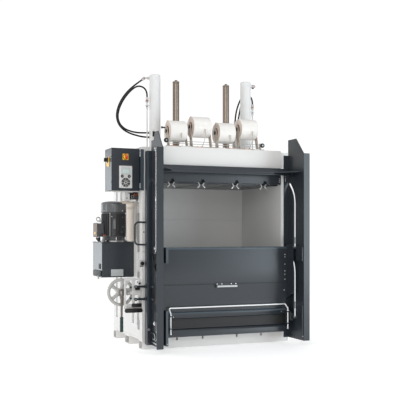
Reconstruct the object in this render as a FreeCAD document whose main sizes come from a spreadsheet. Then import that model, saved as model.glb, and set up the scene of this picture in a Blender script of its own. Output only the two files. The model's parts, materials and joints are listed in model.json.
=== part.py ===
import FreeCAD, Part
import Sketcher
import os
import math

# Vertical two-cylinder recycling baler, millimetres, +Z up.
# Origin: centre of the chamber on the floor, -Y is the loading side, +X the hinge side.

V = FreeCAD.Vector
doc = FreeCAD.newDocument("baler")

# ---------------------------------------------------------------- driving dimensions
DIMS = [
    # body
    ("base_left", -713), ("base_right", 672), ("half_depth", 425), ("base_top", 95),
    ("skid_front", 90), ("skid_mid", 124), ("chamber_half", 600), ("wall_top", 1700),
    ("rear_thick", 40), ("beam_bottom", 1555), ("beam_top", 1714), ("beam_depth", 62),
    ("header_bottom", 1412), ("header_thick", 30), ("deck_under", 1640),
    ("strap_inner", 162), ("strap_outer", 400), ("guide_outer", 440),
    # cylinders and guide rods
    ("cyl_x", 451), ("cyl_y", 0), ("tube_dia", 100), ("tube_bore", 84), ("tube_top", 2396),
    ("piston_rod", 56), ("guide_x", 249), ("guide_dia", 60), ("guide_top", 2364),
    ("stroke", 590), ("platen_bottom", 1400), ("platen_top", 1490), ("running_gap", 0.05),
    # tank and motor
    ("tank_left", -995), ("tank_front", -200), ("tank_rear", 99), ("tank_bottom", 602),
    ("tank_top", 899), ("motor_x", -850), ("motor_y", -50), ("motor_r", 104),
    # control box
    ("box_left", -974), ("box_right", -731), ("box_front", -400), ("box_rear", -218),
    ("box_bottom", 1328), ("box_top", 1680),
    # lock
    ("wheel_x", -875), ("wheel_y", -345), ("wheel_z", 481), ("wheel_r", 103), ("spindle", 30),
    # bale door frame
    ("plate_in", 642), ("sheet", 8), ("frame_front", -753), ("frame_rear", -480),
    ("frame_bottom", 46), ("flange", 50), ("left_flange_top", 1665), ("right_flange_top", 1665),
    ("left_plate_top", 1809), ("right_plate_top", 1806), ("post_in", 595),
    ("door_hinge_x", 704), ("door_hinge_y", -452),
    # sliding door
    ("slot_y", -600), ("slot_w", 26), ("pin_dia", 22), ("upper_pin", 850), ("lower_pin", 235),
    ("straight", 380), ("bend_r", 220), ("slide_top", 855),
    # strap rolls
    ("roll_y", -330), ("roll_r", 91), ("roll_core", 38), ("axle_r", 20),
]
sheet = doc.addObject("Spreadsheet::Sheet", "dims")
D = {}
for i, (name, val) in enumerate(DIMS):
    sheet.set("A%d" % (i + 1), name)
    sheet.set("B%d" % (i + 1), str(val))
    sheet.setAlias("B%d" % (i + 1), name)
    D[name] = float(val)
doc.recompute()


class _Dims:
    def __getattr__(self, k):
        return D[k]


d = _Dims()


def ex(e):
    """an expression over the sheet: words become dims.word"""
    if isinstance(e, (int, float)):
        return repr(float(e))
    out, word = "", ""
    for ch in e + " ":
        if ch.isalpha() or ch == "_" or (word and ch.isdigit()):
            word += ch
        else:
            if word:
                out += ("dims." + word) if word in D else word
                word = ""
            out += ch
    return out.strip()


def val(e):
    """the same expression as a number"""
    if isinstance(e, (int, float)):
        return float(e)
    s, word = "", ""
    total = []
    for ch in e + " ":
        if ch.isalpha() or ch == "_" or (word and ch.isdigit()):
            word += ch
        else:
            if word:
                s += "(%r)" % D[word]
                word = ""
            s += ch
    return float(_calc(s))


def _calc(s):
    """plus, minus, times and divide with brackets"""
    toks, num = [], ""
    for ch in s:
        if ch.isdigit() or ch == ".":
            num += ch
        else:
            if num:
                toks.append(float(num))
                num = ""
            if ch in "+-*/()":
                toks.append(ch)
    if num:
        toks.append(float(num))
    pos = [0]

    def atom():
        t = toks[pos[0]]
        pos[0] += 1
        if t == "(":
            v = add()
            pos[0] += 1
            return v
        if t == "-":
            return -atom()
        if t == "+":
            return atom()
        return t

    def mul():
        v = atom()
        while pos[0] < len(toks) and toks[pos[0]] in ("*", "/"):
            op = toks[pos[0]]
            pos[0] += 1
            w = atom()
            v = v * w if op == "*" else v / w
        return v

    def add():
        v = mul()
        while pos[0] < len(toks) and toks[pos[0]] in ("+", "-"):
            op = toks[pos[0]]
            pos[0] += 1
            w = mul()
            v = v + w if op == "+" else v - w
        return v

    return add()


NODES = {}
_n = [0]


def _uid(kind):
    _n[0] += 1
    return "%s_%03d" % (kind, _n[0])


def box(x0, x1, y0, y1, z0, z1):
    """a box between six expressions"""
    o = doc.addObject("Part::Box", _uid("box"))
    for prop, a, b in (("Length", x0, x1), ("Width", y0, y1), ("Height", z0, z1)):
        o.setExpression(prop, "(%s) - (%s)" % (ex(b), ex(a)))
    for ax, a in (("x", x0), ("y", y0), ("z", z0)):
        o.setExpression("Placement.Base." + ax, ex(a))
    return o


def cyl(axis, x, y, z, r, length):
    """a cylinder from (x, y, z) along +axis"""
    o = doc.addObject("Part::Cylinder", _uid("cyl"))
    o.setExpression("Radius", ex(r))
    o.setExpression("Height", ex(length))
    rot = {"x": FreeCAD.Rotation(V(0, 1, 0), 90), "y": FreeCAD.Rotation(V(1, 0, 0), -90),
           "z": FreeCAD.Rotation()}[axis]
    o.Placement = FreeCAD.Placement(V(0, 0, 0), rot)
    for ax, a in (("x", x), ("y", y), ("z", z)):
        o.setExpression("Placement.Base." + ax, ex(a))
    return o


def torus(axis, x, y, z, r1, r2):
    o = doc.addObject("Part::Torus", _uid("torus"))
    o.setExpression("Radius1", ex(r1))
    o.setExpression("Radius2", ex(r2))
    rot = {"x": FreeCAD.Rotation(V(0, 1, 0), 90), "y": FreeCAD.Rotation(V(1, 0, 0), -90),
           "z": FreeCAD.Rotation()}[axis]
    o.Placement = FreeCAD.Placement(V(0, 0, 0), rot)
    for ax, a in (("x", x), ("y", y), ("z", z)):
        o.setExpression("Placement.Base." + ax, ex(a))
    return o


def fuse(*parts):
    if len(parts) == 1:
        return parts[0]
    o = doc.addObject("Part::MultiFuse", _uid("fuse"))
    o.Shapes = list(parts)
    return o


def cut(base, *tools):
    o = doc.addObject("Part::Cut", _uid("cut"))
    o.Base = base
    o.Tool = fuse(*tools)
    return o


def group(*parts):
    """separate solids of one kind under one name"""
    o = doc.addObject("Part::Compound", _uid("set"))
    o.Links = list(parts)
    return o


def node(name, o):
    o.Label = name
    NODES[name] = o
    return o


def origin_plane(body, role):
    for f in body.Origin.OriginFeatures:
        if f.Role == role:
            return f


def body_poly(role, pts, thick, offset=0.0, holes=(), reverse=False):
    """a PartDesign body: closed outline on an origin plane, padded by thick, starting at offset.
    XY_Plane takes (x, y); XZ_Plane takes (x, z) and pads towards -Y; YZ_Plane takes (y, z), pads towards +X."""
    b = doc.addObject("PartDesign::Body", _uid("body"))
    sk = b.newObject("Sketcher::SketchObject", _uid("sketch"))
    sk.AttachmentSupport = [(origin_plane(b, role), "")]
    sk.MapMode = "FlatFace"
    sk.AttachmentOffset = FreeCAD.Placement(V(0, 0, 0), FreeCAD.Rotation())
    sk.setExpression("AttachmentOffset.Base.z", ex(offset))
    n = len(pts)
    num = [(val(a), val(b2)) for a, b2 in pts]
    for i in range(n):
        a, c = num[i], num[(i + 1) % n]
        sk.addGeometry(Part.LineSegment(V(a[0], a[1], 0), V(c[0], c[1], 0)), False)
    for i in range(n):
        sk.addConstraint(Sketcher.Constraint("Coincident", i, 2, (i + 1) % n, 1))
    for i in range(n):
        for kind, k in (("DistanceX", 0), ("DistanceY", 1)):
            v0 = num[i][k]
            if abs(v0) < 1e-9:
                sk.addConstraint(Sketcher.Constraint("PointOnObject", i, 1, -2 if k == 0 else -1))
            else:
                ci = sk.addConstraint(Sketcher.Constraint(kind, -1, 1, i, 1, v0))
                sk.setExpression("Constraints[%d]" % ci, ex(pts[i][k]))
    g = n
    for hx, hy, hr in holes:
        sk.addGeometry(Part.Circle(V(val(hx), val(hy), 0), V(0, 0, 1), val(hr)), False)
        for kind, e in (("DistanceX", hx), ("DistanceY", hy)):
            v0 = val(e)
            if abs(v0) < 1e-9:
                sk.addConstraint(Sketcher.Constraint("PointOnObject", g, 3, -2 if kind == "DistanceX" else -1))
            else:
                ci = sk.addConstraint(Sketcher.Constraint(kind, -1, 1, g, 3, v0))
                sk.setExpression("Constraints[%d]" % ci, ex(e))
        ci = sk.addConstraint(Sketcher.Constraint("Radius", g, val(hr)))
        sk.setExpression("Constraints[%d]" % ci, ex(hr))
        g += 1
    pad = b.newObject("PartDesign::Pad", _uid("pad"))
    pad.Profile = sk
    pad.setExpression("Length", ex(thick))
    pad.Reversed = reverse
    b.Tip = pad
    return b


def body_turn(pts, x, y, z, axis="z", angle=360.0):
    """a PartDesign revolution: (radius, height) outline turned about the body's own Z, then placed"""
    b = doc.addObject("PartDesign::Body", _uid("body"))
    sk = b.newObject("Sketcher::SketchObject", _uid("sketch"))
    sk.AttachmentSupport = [(origin_plane(b, "XZ_Plane"), "")]
    sk.MapMode = "FlatFace"
    n = len(pts)
    num = [(val(a), val(c)) for a, c in pts]
    for i in range(n):
        a, c = num[i], num[(i + 1) % n]
        sk.addGeometry(Part.LineSegment(V(a[0], a[1], 0), V(c[0], c[1], 0)), False)
    for i in range(n):
        sk.addConstraint(Sketcher.Constraint("Coincident", i, 2, (i + 1) % n, 1))
    for i in range(n):
        for kind, k in (("DistanceX", 0), ("DistanceY", 1)):
            v0 = num[i][k]
            if abs(v0) < 1e-9:
                sk.addConstraint(Sketcher.Constraint("PointOnObject", i, 1, -2 if k == 0 else -1))
            else:
                ci = sk.addConstraint(Sketcher.Constraint(kind, -1, 1, i, 1, v0))
                sk.setExpression("Constraints[%d]" % ci, ex(pts[i][k]))
    rev = b.newObject("PartDesign::Revolution", _uid("turn"))
    rev.Profile = sk
    rev.ReferenceAxis = (sk, ["V_Axis"])
    rev.Angle = angle
    b.Tip = rev
    rot = {"x": FreeCAD.Rotation(V(0, 1, 0), 90), "y": FreeCAD.Rotation(V(1, 0, 0), -90),
           "z": FreeCAD.Rotation()}[axis]
    b.Placement = FreeCAD.Placement(V(0, 0, 0), rot)
    for ax, e in (("x", x), ("y", y), ("z", z)):
        b.setExpression("Placement.Base." + ax, ex(e))
    return b


# ================================================================ BASE AND BODY SHELL
# three skids along X leave two fork pockets; the plate over them is the chamber floor;
# four strap channels run front to back in the floor and open as Y shapes in the front
def strap_cut(xc):
    w = 7
    slot = box("%s - %d" % (xc, w), "%s + %d" % (xc, w), "-half_depth - 5", "half_depth + 5", 68, "base_top + 5")
    vee = body_poly("XZ_Plane", [("%s - 7" % xc, 66), ("%s + 7" % xc, 66), ("%s + 22" % xc, "base_top + 5"),
                                 ("%s - 22" % xc, "base_top + 5")], 26, "half_depth - 20")
    return fuse(slot, vee)


skids = fuse(
    box("base_left", "base_right", "-half_depth", "-half_depth + skid_front", 0, 80),
    box("base_left", "base_right", "-skid_mid/2", "skid_mid/2", 0, 80),
    box("base_left", "base_right", "half_depth - skid_front", "half_depth", 0, 80),
    box("base_left", "base_right", "-half_depth", "half_depth", 78, "base_top"))
hollow = [
    box("base_left - 5", "base_right + 5", "-half_depth + 6", "-half_depth + skid_front - 6", 8, 66),
    box("base_left - 5", "base_right + 5", "-skid_mid/2 + 6", "skid_mid/2 - 6", 8, 66),
    box("base_left - 5", "base_right + 5", "half_depth - skid_front + 6", "half_depth - 6", 8, 66)]
node("base_frame", cut(skids, *(hollow + [strap_cut(e) for e in
     ("-strap_outer", "-strap_inner", "strap_inner", "strap_outer")])))


def recess(side, y0, y1, z0, z1):
    if side < 0:
        return box("base_left - 5", "base_left + 22", y0, y1, z0, z1)
    return box("base_right - 22", "base_right + 5", y0, y1, z0, z1)


left_wall = cut(box("base_left", "-chamber_half", "-half_depth", "half_depth", "base_top", "wall_top"),
                recess(-1, -345, -290, 200, 1232), recess(-1, -205, -150, 200, 560),
                recess(-1, 150, 205, 200, 1500), recess(-1, 290, 345, 200, 1500),
                box("base_left + 26", "-chamber_half - 14", "-half_depth + 14", "half_depth - 14",
                    "base_top - 5", "wall_top - 14"))
node("left_side_wall", left_wall)
right_wall = cut(box("chamber_half", "base_right", "-half_depth", "half_depth", "base_top", "wall_top"),
                 recess(1, -345, -290, 200, 1500), recess(1, -120, -65, 200, 1500),
                 recess(1, 65, 120, 200, 1500), recess(1, 290, 345, 200, 1500),
                 box("chamber_half + 12", "base_right - 26", "-half_depth + 14", "half_depth - 14",
                     "base_top - 5", "wall_top - 14"))
node("right_side_wall", right_wall)
rear_ribs = [box(x0, x0 + 56, "half_depth - 26", "half_depth + 5", 180, "wall_top - 130") for x0 in
             (-560, -428, -296, -164, -28, 108, 240, 372, 504)]
node("rear_wall", cut(box("-chamber_half", "chamber_half", "half_depth - rear_thick", "half_depth",
                          "base_top", "wall_top"), *rear_ribs))

# front crossbeam, a deep channel between the side walls, over the loading opening
node("front_crossbeam", fuse(
    box("-chamber_half", "chamber_half", "-half_depth", "-half_depth + 10", "beam_bottom", "beam_top"),
    box("-chamber_half", "chamber_half", "-half_depth + 10", "-half_depth + beam_depth", "beam_bottom", "beam_bottom + 10"),
    box("-chamber_half", "chamber_half", "-half_depth + 10", "-half_depth + beam_depth", "beam_top - 10", "beam_top")))

# top deck: a plate on two deep cross members, pierced for the cylinders and guide rods
deck = cut(fuse(box(-452, -424, 74, 118, "wall_top - 2", 1912), box(372, 444, 80, 128, "wall_top - 2", 1968),
                box(-556, -530, -232, -210, "wall_top - 2", 1872), box("-chamber_half", "chamber_half", "-half_depth + beam_depth", "half_depth - rear_thick", "wall_top - 20", "wall_top"),
                box("-chamber_half", "chamber_half", -240, -228, "deck_under - 40", "wall_top - 20"),
                box("-chamber_half", "chamber_half", 100, 112, "deck_under - 40", "wall_top - 20")),
           cyl("z", "-cyl_x", "cyl_y", "deck_under - 60", "piston_rod/2 + 4", 200),
           cyl("z", "cyl_x", "cyl_y", "deck_under - 60", "piston_rod/2 + 4", 200),
           cyl("z", "-guide_x", 0, "deck_under - 60", "guide_dia/2 + 6", 200),
           cyl("z", "guide_x", 0, "deck_under - 60", "guide_dia/2 + 6", 200))
node("top_deck", deck)

# dark header plate with four V notches where the straps come down
notches = []
for e in ("-guide_outer", "-strap_inner", "strap_inner", "guide_outer"):
    notches.append(body_poly("XZ_Plane", [("%s - 26" % e, "header_bottom - 5"), ("%s + 26" % e, "header_bottom - 5"),
                                          ("%s + 9" % e, "header_bottom + 26"), ("%s - 9" % e, "header_bottom + 26")],
                             50, "half_depth - 40"))
node("header_plate", cut(box("-chamber_half", "chamber_half", "-half_depth", "-half_depth + header_thick",
                             "header_bottom", "beam_bottom"), *notches))

# pale strap funnels: bent round bar, one beside each notch
funnels = []
for xe, s in (("-guide_outer", 1), ("-strap_inner", 1), ("strap_inner", 1), ("guide_outer", 1)):
    x = val(xe)
    z = d.header_bottom
    y = -d.half_depth + d.header_thick + 6.0
    pts = [V(x - 62, y, z + 4), V(x - 30, y, z + 4), V(x - 12, y, z - 22), V(x - 30, y, z - 40)]
    pr = 4.0
    edges = []
    p0 = pts[0]
    for i in range(1, len(pts) - 1):
        a, b, c = pts[i - 1], pts[i], pts[i + 1]
        u, w = (a - b), (c - b)
        lu, lw = u.Length, w.Length
        u.normalize()
        w.normalize()
        turn = math.pi - u.getAngle(w)
        r = min(12.0, 0.45 * min(lu, lw) / math.tan(turn / 2))
        t = r * math.tan(turn / 2)
        s0, s1 = b + u * t, b + w * t
        bis = (u + w)
        bis.normalize()
        mid = b + bis * (r / math.cos(turn / 2) - r)
        edges.append(Part.LineSegment(p0, s0).toShape())
        edges.append(Part.Arc(s0, mid, s1).toShape())
        p0 = s1
    edges.append(Part.LineSegment(p0, pts[-1]).toShape())
    w1 = Part.Wire(edges)
    prof = Part.Wire([Part.Circle(pts[0], V(1, 0, 0), pr).toShape()])
    left = w1.makePipeShell([prof], True, False)
    m = left.mirror(V(x, 0, 0), V(1, 0, 0))
    funnels += [left, m]
o = doc.addObject("Part::Feature", "strap_funnel_bars")
o.Shape = Part.makeCompound(funnels)
o.Placement = FreeCAD.Placement()
node("strap_guides", o)

# ================================================================ CYLINDERS, PIPES, GUIDES
for nm, s in (("cylinder_left", "-cyl_x"), ("cylinder_right", "cyl_x")):
    body = body_turn([("piston_rod/2 + running_gap", 0), ("tube_dia/2 + 22", 0), ("tube_dia/2 + 22", 22), ("tube_dia/2", 22),
                      ("tube_dia/2", "tube_top - wall_top - 3"), ("tube_dia/2 - 3", "tube_top - wall_top"),
                      (0, "tube_top - wall_top"), (0, "tube_top - wall_top - 24"),
                      ("tube_bore/2", "tube_top - wall_top - 24"), ("tube_bore/2", 8), ("piston_rod/2 + running_gap", 8)], s, "cyl_y", "wall_top")
    node(nm, body)
node("piston_rods", group(*[fuse(cyl("z", s, "cyl_y", "platen_top", "piston_rod/2", 820),
                                 cyl("z", s, "cyl_y", "platen_top + 820", "tube_bore/2 - running_gap", 44))
                            for s in ("-cyl_x", "cyl_x")]))
node("guide_rods", group(*[fuse(cyl("z", s, 0, "platen_top", "guide_dia/2", "guide_top - platen_top - 28"),
                                cyl("z", s, 0, "guide_top - 28", "guide_dia/2 + 4", 14),
                                cyl("z", s, 0, "guide_top - 14", 13, 14)) for s in ("-guide_x", "guide_x")]))
node("guide_bushes", group(*[cut(fuse(cyl("z", s, 0, "wall_top", "guide_dia/2 + 32", 12),
                                      cyl("z", s, 0, "wall_top", "guide_dia/2 + 16", 24)),
                                 cyl("z", s, 0, "wall_top - 5", "guide_dia/2 + running_gap", 60))
                             for s in ("-guide_x", "guide_x")]))
# one thin return pipe stands beside each tube, clamped near its top
pipes = []
for px in (-525, 525):
    pipes.append(fuse(cyl("z", px, "cyl_y", 1722, 6, 420), cyl("z", px, "cyl_y", 2098, 18, 8),
                      cyl("z", px, "cyl_y", 2112, 11, 20)))
node("cylinder_pipes", group(*pipes))

# hose unions: top port and pipe union on each cylinder, and two unions on each deck block
fit = []
elbow = cyl("z", -548, 0, 2362, 12, 38)
elbow.Placement = FreeCAD.Placement(V(-546, 0, 2363), FreeCAD.Rotation(V(0, 1, 0), V(-56, 0, -41)).multiply(FreeCAD.Rotation(V(1, 0, 0), -90)))
fit.append(fuse(cyl("x", "-cyl_x - tube_dia/2 - 45", "cyl_y", 2362, 9, 45), elbow))
fit.append(fuse(cyl("x", "cyl_x + tube_dia/2", "cyl_y", 2362, 10, 18), box(519, 543, -12, 12, 2348, 2376), cyl("y", 531, 12, 2362, 13, 26)))
for px in (-525, 525):
    fit.append(fuse(cyl("z", px, "cyl_y", 2142, 8, 12), cyl("z", px, "cyl_y", 2154, 13, 36)))
for z in (1846, 1886):
    fit.append(cyl("x", -480, 96, z, 12, 28))
for px in (392, 424):
    fit.append(cyl("z", px, 104, 1968, 12, 67))
node("hose_fittings", group(*fit))


def tube_path(pts, dia):
    """straight runs joined by arcs, each as large as its two runs allow"""
    edges, radii = [], []
    p0 = pts[0]
    for i in range(1, len(pts) - 1):
        a, b, c = pts[i - 1], pts[i], pts[i + 1]
        u, w = (a - b), (c - b)
        lu, lw = u.Length, w.Length
        u.normalize()
        w.normalize()
        turn = math.pi - u.getAngle(w)
        r = 0.45 * min(lu, lw) / math.tan(turn / 2)
        t = r * math.tan(turn / 2)
        s0, s1 = b + u * t, b + w * t
        bis = (u + w)
        bis.normalize()
        mid = b + bis * (r / math.cos(turn / 2) - r)
        edges.append(Part.LineSegment(p0, s0).toShape())
        edges.append(Part.Arc(s0, mid, s1).toShape())
        radii.append(round(r))
        p0 = s1
    edges.append(Part.LineSegment(p0, pts[-1]).toShape())
    wire = Part.Wire(edges)
    tan = pts[1] - pts[0]
    prof = Part.Wire([Part.Circle(pts[0], tan, dia / 2).toShape()])
    return wire, wire.makePipeShell([prof], True, False), radii


# hydraulic hoses, 15 mm outside, in the plane of the cylinders; each is held at both ends
HOSE = 15.0
ROUTES = {
    "hose_left_top": [(-577, 0, 2340), (-634, 0, 2298), (-702, 2, 2238), (-757, 5, 2166), (-794, 10, 2086),
                      (-806, 19, 2008), (-782, 32, 1940), (-730, 48, 1894), (-660, 64, 1866), (-582, 80, 1852),
                      (-524, 91, 1845), (-480, 96, 1846)],
    "hose_left_pipe": [(-525, 0, 2190), (-524, 3, 2226), (-538, 7, 2264), (-572, 13, 2288), (-614, 19, 2287),
                       (-651, 26, 2263), (-686, 33, 2227), (-721, 40, 2181), (-752, 47, 2127), (-774, 54, 2067),
                       (-780, 62, 2006), (-760, 70, 1950), (-712, 79, 1909), (-646, 88, 1889), (-580, 95, 1882),
                       (-524, 97, 1884), (-480, 96, 1886)],
    "hose_right_top": [(531, 38, 2362), (530, 74, 2357), (523, 112, 2336), (511, 144, 2298), (498, 162, 2250),
                       (484, 169, 2198), (470, 164, 2146), (454, 148, 2102), (437, 122, 2070), (424, 104, 2035)],
    "hose_right_pipe": [(525, 0, 2190), (524, 1, 2227), (515, 17, 2264), (498, 47, 2286), (476, 83, 2284),
                        (459, 113, 2260), (446, 133, 2220), (430, 137, 2172), (415, 130, 2124), (402, 118, 2078),
                        (392, 104, 2035)],
}
for nm, pts in ROUTES.items():
    P = [V(*p) for p in pts]
    wire, solid, radii = tube_path(P, HOSE)
    want = math.pi * HOSE ** 2 / 4 * wire.Length
    print(nm, "length %.0f" % wire.Length, "radii", radii, "volume ratio %.3f" % (solid.Volume / want),
          "runs", [round((P[i + 1] - P[i]).Length) for i in range(len(P) - 1)])
    o = doc.addObject("Part::Feature", nm + "_tube")
    o.Shape = solid
    o.Placement = FreeCAD.Placement()
    node(nm, o)

# ================================================================ TANK, MOTOR, VALVES
tank = cut(fuse(box("tank_left", "base_left", "tank_front", "tank_rear", "tank_bottom", "tank_top - 6"),
                box("tank_left - 6", "base_left", "tank_front - 6", "tank_rear + 6", "tank_top - 6", "tank_top")),
           box("tank_left + 4", "base_left - 4", "tank_front + 4", "tank_rear - 4", "tank_bottom + 4", "tank_top - 12"),
           cyl("z", "motor_x", "motor_y", "tank_top - 40", 62, 60))
node("tank", tank)
node("motor_flange", body_turn([(0, 0), ("motor_r + 10", 0), ("motor_r + 10", 14), ("motor_r - 26", 22),
                                ("motor_r - 26", 44), (0, 44)], "motor_x", "motor_y", "tank_top"))
fins = []
core = cyl("z", "motor_x", "motor_y", "tank_top + 44", "motor_r - 14", 210)
NF = 32
for k in range(NF):
    a = 360.0 / NF * k
    f = doc.addObject("Part::Box", _uid("fin"))
    f.Length, f.Width, f.Height = 18.0, 4.0, 190.0
    rot = FreeCAD.Rotation(V(0, 0, 1), a)
    off = rot.multVec(V(d.motor_r - 18, -2, 0))
    f.Placement = FreeCAD.Placement(V(d.motor_x + off.x, d.motor_y + off.y, d.tank_top + 54), rot)
    f.setExpression("Height", "dims.box_front * 0 + 190")
    fins.append(f)
node("motor_body", fuse(core, cyl("z", "motor_x", "motor_y", "tank_top + 44", "motor_r + 2", 10),
                        cyl("z", "motor_x", "motor_y", "tank_top + 244", "motor_r - 2", 10), *fins))
cowl = cut(body_turn([(0, 0), ("motor_r + 3", 0), ("motor_r + 6", 6), ("motor_r + 6", 64), ("motor_r - 4", 84),
                      ("motor_r - 30", 96), (0, 99)], "motor_x", "motor_y", "tank_top + 256"),
           cyl("z", "motor_x", "motor_y", "tank_top + 250", "motor_r + 1", 66),
           *[box("motor_x - 60 + %d" % (i * 15), "motor_x - 54 + %d" % (i * 15), "motor_y - 52", "motor_y + 52",
                 "tank_top + 300", "tank_top + 380") for i in range(9)])
node("motor_cowl", cowl)
node("terminal_box", fuse(
    box("motor_x - motor_r - 54", "motor_x - motor_r", "motor_y - 58", "motor_y + 58", 953, 1060),
    box("motor_x - motor_r - 65", "motor_x - motor_r - 54", "motor_y - 62", "motor_y + 62", 941, 1064),
    cyl("z", "motor_x - motor_r - 32", "motor_y - 20", 910, 15, 46)))
node("lifting_eye", fuse(torus("y", "motor_x - motor_r - 34", "motor_y", 1096, 16, 5),
                         box("motor_x - motor_r - 40", "motor_x - motor_r", "motor_y - 5", "motor_y + 5", 1070, 1086)))
node("valve_block", fuse(box(-850, -776, -330, -250, 1250, "box_bottom"), box(-776, "base_left", -320, -262, 1262, 1312),
                         cyl("z", -762, -291, 1228, 16, 34)))
node("filler_cap", fuse(cyl("z", -815, -290, 1232, 35, 18)))

# ================================================================ CONTROL BOX
barrels = []
for z in (1350, 1614):
    barrels += [cyl("z", "box_right + 4", "box_front - 20", z, 5.5, 44),
                box("box_right + 4", "box_right + 12", "box_front - 23", "box_front - 17", z, z + 44),
                box("box_right + 8", "box_right + 12", "box_front - 23", "box_front + 20", z, z + 44)]
node("control_box", cut(fuse(box("box_left", "box_right", "box_front", "box_rear", "box_bottom", "box_top"),
                             box("box_right", "base_left", "box_front + 10", "box_rear - 10", "box_bottom + 14", "box_top - 14"),
                             *barrels),
                        box("box_left + 3", "box_right - 3", "box_front - 5", "box_rear - 3", "box_bottom + 3", "box_top - 3")))
node("control_door", fuse(cut(box("box_left", "box_right - 2", "box_front - 20", "box_front - 0.5", "box_bottom", "box_top"),
                              box("box_left + 4", "box_right - 6", "box_front - 16", "box_front + 5", "box_bottom + 4", "box_top - 4"))))
node("keypad_panel", fuse(cut(box(-910, -798, "box_front - 24", "box_front - 20", 1349, 1534),
                              cyl("y", -884, "box_front - 30", 1447, 9.3, 20), cyl("y", -824, "box_front - 30", 1447, 9.3, 20)),
                          cut(box(-892, -816, "box_front - 27", "box_front - 24", 1462, 1518),
                              box(-884, -824, "box_front - 28", "box_front - 25", 1472, 1508)),
                          cyl("y", -854, "box_front - 27", 1396, 40, 3)))
# the two round push buttons stand in the panel between the display and the ring of keys
for nm, x in (("keypad_button_left", -884), ("keypad_button_right", -824)):
    node(nm, cyl("y", x, "box_front - 29.5", 1447, 9, 7))
node("isolator_plate", box(-880, -829, "box_front - 23", "box_front - 20", 1582, 1634))
node("isolator_knob", fuse(cyl("y", -854.5, "box_front - 38", 1608, 19, 14.7),
                           box(-859.5, -849.5, "box_front - 52", "box_front - 38", 1588, 1628)))
node("side_switch_knob", fuse(cyl("x", "box_left - 18", -305, 1588, 17, 14.7),
                              box("box_left - 34", "box_left - 18", -309, -301, 1572, 1604)))

# ================================================================ DOOR LOCK
# a cut plate stands in front of the handwheel; a second arm behind the wheel carries the spindle
node("lock_bracket", cut(fuse(box(-859, "base_left", -400, -392, 345, 598),
                              box("base_left - 8", "base_left", -392, -300, 345, 598),
                              box(-905, "base_left", -312, -304, 451, 511),
                              cyl("y", "wheel_x", -320, "wheel_z", 30, 24)),
                         box(-845, -792, -405, -385, 362, 581), box(-767, -735, -405, -385, 362, 581),
                         cyl("y", "wheel_x", -400, "wheel_z", "spindle/2 + running_gap", 120)))
rim = torus("y", "wheel_x", "wheel_y", "wheel_z", "wheel_r", 14)
spokes = []
for k in range(5):
    s = doc.addObject("Part::Cylinder", _uid("spoke"))
    s.Radius = 9.0
    s.setExpression("Height", "dims.wheel_r - 4")
    s.Placement = FreeCAD.Placement(V(d.wheel_x, d.wheel_y, d.wheel_z), FreeCAD.Rotation(V(0, 1, 0), 18 + 72 * k))
    spokes.append(s)
node("handwheel", fuse(rim, cyl("y", "wheel_x", "wheel_y - 18", "wheel_z", 26, 38),
                       cyl("y", "wheel_x", "wheel_y + 20", "wheel_z", "spindle/2", 104),
                       cyl("y", "wheel_x", "wheel_y - 42", "wheel_z", 6, 25), cyl("y", "wheel_x", "wheel_y - 45", "wheel_z", 11, 4), *spokes))
# nut block on the spindle behind the rear arm; it draws the lock bar along the side wall
node("lock_nut", cut(fuse(box("wheel_x - 28", "wheel_x + 28", -292, -268, "wheel_z - 28", "wheel_z + 28"),
                          box("wheel_x + 28", -745, -288, -272, "wheel_z - 10", "wheel_z + 10")),
                     cyl("y", "wheel_x", -400, "wheel_z", "spindle/2 + running_gap", 160)))
# ratchet lever hangs from the front of the hub
node("ratchet_lever", cut(fuse(cyl("y", "wheel_x", "wheel_y - 40", "wheel_z", 28, 18),
                               box("wheel_x - 11", "wheel_x + 11", "wheel_y - 36", "wheel_y - 26", "wheel_z - 220", "wheel_z - 18")),
                          cyl("y", "wheel_x", "wheel_y - 45", "wheel_z", 6.05, 30)))
node("lever_grip", cut(cyl("z", "wheel_x", "wheel_y - 31", "wheel_z - 330", 15, 125),
                       box("wheel_x - 11", "wheel_x + 11", "wheel_y - 36", "wheel_y - 26", "wheel_z - 220", "wheel_z - 200")))

# ================================================================ STRAP ROLLS
ROLLS = [(-464, -287, 1853), (-251, -63, 1899), (-9, 169, 1858), (203, 390, 1900)]
holders = []
for k, (x0, x1, z) in enumerate(ROLLS):
    rr = 91.0
    x0, x1 = x0 + 12, x1 - 12
    node("strap_roll_%d" % (k + 1), cut(fuse(cyl("x", x0, "roll_y", z, "roll_r", x1 - x0),
                                             cyl("x", x0 - 3, "roll_y", z, "roll_core + 5", x1 - x0 + 6)),
                                        cyl("x", x0 - 20, "roll_y", z, "axle_r + running_gap", x1 - x0 + 40)))
    pl = []
    for xa in (x0 - 11, x1 + 5):
        pl.append(body_poly("YZ_Plane", [("roll_y - 80", "beam_top"), ("roll_y - 30", "beam_top"),
                                         ("roll_y + 34", z + 26), ("roll_y - 26", z + 30), ("roll_y - 34", z - 20)], 6, xa))
    holders.append(fuse(pl[0], pl[1], cyl("x", x0 - 14, "roll_y", z, "axle_r", x1 - x0 + 28)))
feet = [box(-470, 440, "-half_depth + beam_depth - 46", "-half_depth + beam_depth - 4", "beam_top", "beam_top + 8")]
node("roll_holders", fuse(*(holders + feet)))

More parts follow.
